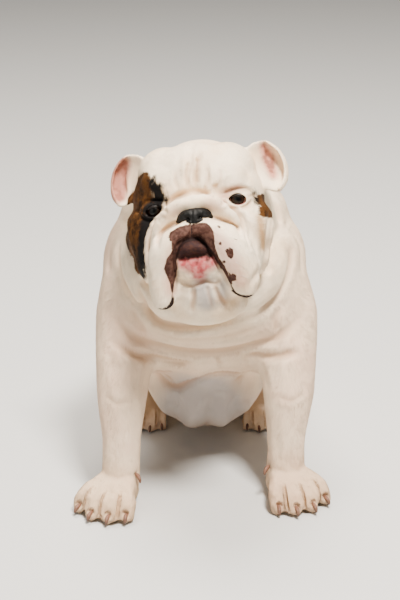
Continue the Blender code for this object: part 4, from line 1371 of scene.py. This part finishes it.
def claw_shape(spots, path):
    """The spots of a unit ball, drawn out along the path of a claw, and how far each lies towards its tip."""
    tip = (1 - spots[:, 2]) / 2
    line = smooth_path(path, CLAW_POINTS)
    at = tip * (CLAW_POINTS - 1)
    low = np.clip(at.astype(int), 0, CLAW_POINTS - 2)
    share = (at - low)[:, None]
    middle = line[low] * (1 - share) + line[low + 1] * share
    along = line[low + 1, :3] - line[low, :3]
    along /= np.linalg.norm(along, axis=1)[:, None]
    across = np.cross(along, (0, 0, 1))
    across /= np.linalg.norm(across, axis=1)[:, None]
    over = np.cross(across, along)
    ring = np.linalg.norm(spots[:, :2], axis=1)
    full = np.where(ring > 1e-6, ring**0.45 / np.maximum(ring, 1e-6), 0)[:, None]
    flat = spots[:, :2] * full * middle[:, 3:]
    return middle[:, :3] + across * flat[:, :1] * 0.85 + over * flat[:, 1:], tip


def make_claws(paw, material):
    """All the claws of one paw: blunt bent horns, each where its solid is."""
    pieces = []
    for path in claw_paths(paw):
        bpy.ops.mesh.primitive_uv_sphere_add(segments=18, ring_count=20, radius=1)
        claw = bpy.context.object
        shape, tip = claw_shape(spots_of(claw), path)
        shape = placed(paw_place(paw), shape)
        shape[:, 2] = np.maximum(shape[:, 2], CAD_LOW.z)
        place_spots(claw, shape)
        stored(claw, {"tip": tip})
        pieces.append(claw)
    pick(*pieces)
    bpy.ops.object.join()
    claws = bpy.context.object
    claws.name = f"{paw}_claws"
    claws.data.materials.append(material)
    bpy.ops.object.shade_smooth()
    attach(claws, "root")
    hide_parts(*[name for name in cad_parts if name.startswith(f"{paw}_")])


WHISKER_SPOTS = [(42, -58), (48, -66), (46, -76), (52, -82), (49, -92)]
WHISKER_ROOT = 0.18 * MM
WHISKER_TIP = 0.03 * MM
WHISKER_JOINTS = 6
WHISKER_SAG = 0.22


def make_whisker(spot, way, long):
    """One hair from spot along way, bent down towards its tip."""
    bpy.ops.mesh.primitive_cone_add(vertices=6, radius1=WHISKER_ROOT, radius2=WHISKER_TIP, depth=long)
    whisker = bpy.context.object
    for k in range(1, WHISKER_JOINTS):
        height = long * (k / WHISKER_JOINTS - 0.5)
        edited(whisker, bpy.ops.mesh.bisect, plane_co=(0, 0, height), plane_no=(0, 0, 1))
    spots = spots_of(whisker) + (0, 0, long / 2 - 1 * MM)
    reach = spots[:, 2] / long
    spots = placed(Matrix.Translation(spot) @ way.to_track_quat("Z", "Y").to_matrix().to_4x4(), spots)
    spots[:, 2] -= WHISKER_SAG * long * reach**2
    place_spots(whisker, np.clip(spots, CAD_LOW, CAD_HIGH))
    return whisker


def make_whiskers(skin):
    """Short stiff hairs in rows on the upper lips."""
    surface = surface_of(skin)
    aim = (FACE.to_3x3() @ Vector((0, 1, 0))).normalized()
    draw = np.random.default_rng(SEED)
    pieces = []
    for _, side in SIDES:
        for x, z in WHISKER_SPOTS:
            spot, facing = surface.ray_cast(FACE @ Vector((side * x - 4, -400, z)), aim)[:2]
            out = Vector((side * 1.0, 0.35, -0.35 + draw.uniform(-0.2, 0.2))).normalized()
            way = (0.45 * facing + 1.2 * out).normalized()
            pieces.append(make_whisker(spot, way, draw.uniform(12, 19) * MM))
    pick(*pieces)
    bpy.ops.object.join()
    whiskers = bpy.context.object
    whiskers.name = "whiskers"
    whiskers.data.materials.append(whisker_material())
    bpy.ops.object.shade_smooth()
    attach(whiskers, "root")


# Stage
LAMP_COLOUR = (1.0, 0.93, 0.84)
ROOM_COLOUR = (1.0, 0.97, 0.94)
# Each lamp's name, place, width and power
LAMPS = (
    ("key", (0.6, -1.3, 2.95), 0.6, 305),
    ("fill", (-2.2, -2.4, 1.5), 2.4, 26),
    ("top", (-0.2, 0.5, 2.9), 1.2, 150),
)


def make_stage():
    """A plain floor, three soft lamps and a pale room."""
    bpy.ops.mesh.primitive_plane_add(size=40, location=(0, 0, CAD_LOW.z))
    floor = bpy.context.object
    floor.name = "floor"
    floor.data.materials.append(new_material("floor_paint", Roughness=0.8, Base_Color=FLOOR_GREY)[0])
    for name, spot, size, power in LAMPS:
        aim = Vector((0, 0, 0.25)) - Vector(spot)
        bpy.ops.object.light_add(type="AREA", location=spot)
        lamp = bpy.context.object
        lamp.name = f"{name}_light"
        lamp.rotation_euler = aim.to_track_quat("-Z", "Y").to_euler()
        lamp.data.size = size
        lamp.data.energy = power
        lamp.data.color = LAMP_COLOUR
    world = bpy.data.worlds.new("studio")
    world.use_nodes = True
    world.node_tree.nodes["Background"].inputs["Color"].default_value = (*ROOM_COLOUR, 1)
    world.node_tree.nodes["Background"].inputs["Strength"].default_value = 0.2
    bpy.context.scene.world = world


def make_camera():
    lift = math.radians(CAMERA_HEIGHT)
    way = Vector((0, -math.cos(lift), math.sin(lift)))
    bpy.ops.object.camera_add(location=CAMERA_AIM + way * CAMERA_DISTANCE)
    camera = bpy.context.object
    camera.rotation_euler = (-way).to_track_quat("-Z", "Y").to_euler()
    camera.data.lens = CAMERA_LENS
    bpy.context.scene.camera = camera


def main():
    make_camera()
    make_stage()
    skin = make_skin()
    make_coat(skin)
    eyes, lids = eye_material(), lid_material()
    for word, side in SIDES:
        make_eye(word, side, eyes)
        make_lids(word, side, lids)
    make_nose()
    horn = claw_material()
    for word, _ in SIDES:
        make_claws(f"forepaw_{word}", horn)
        make_claws(f"hindpaw_{word}", horn)
    make_whiskers(skin)


main()
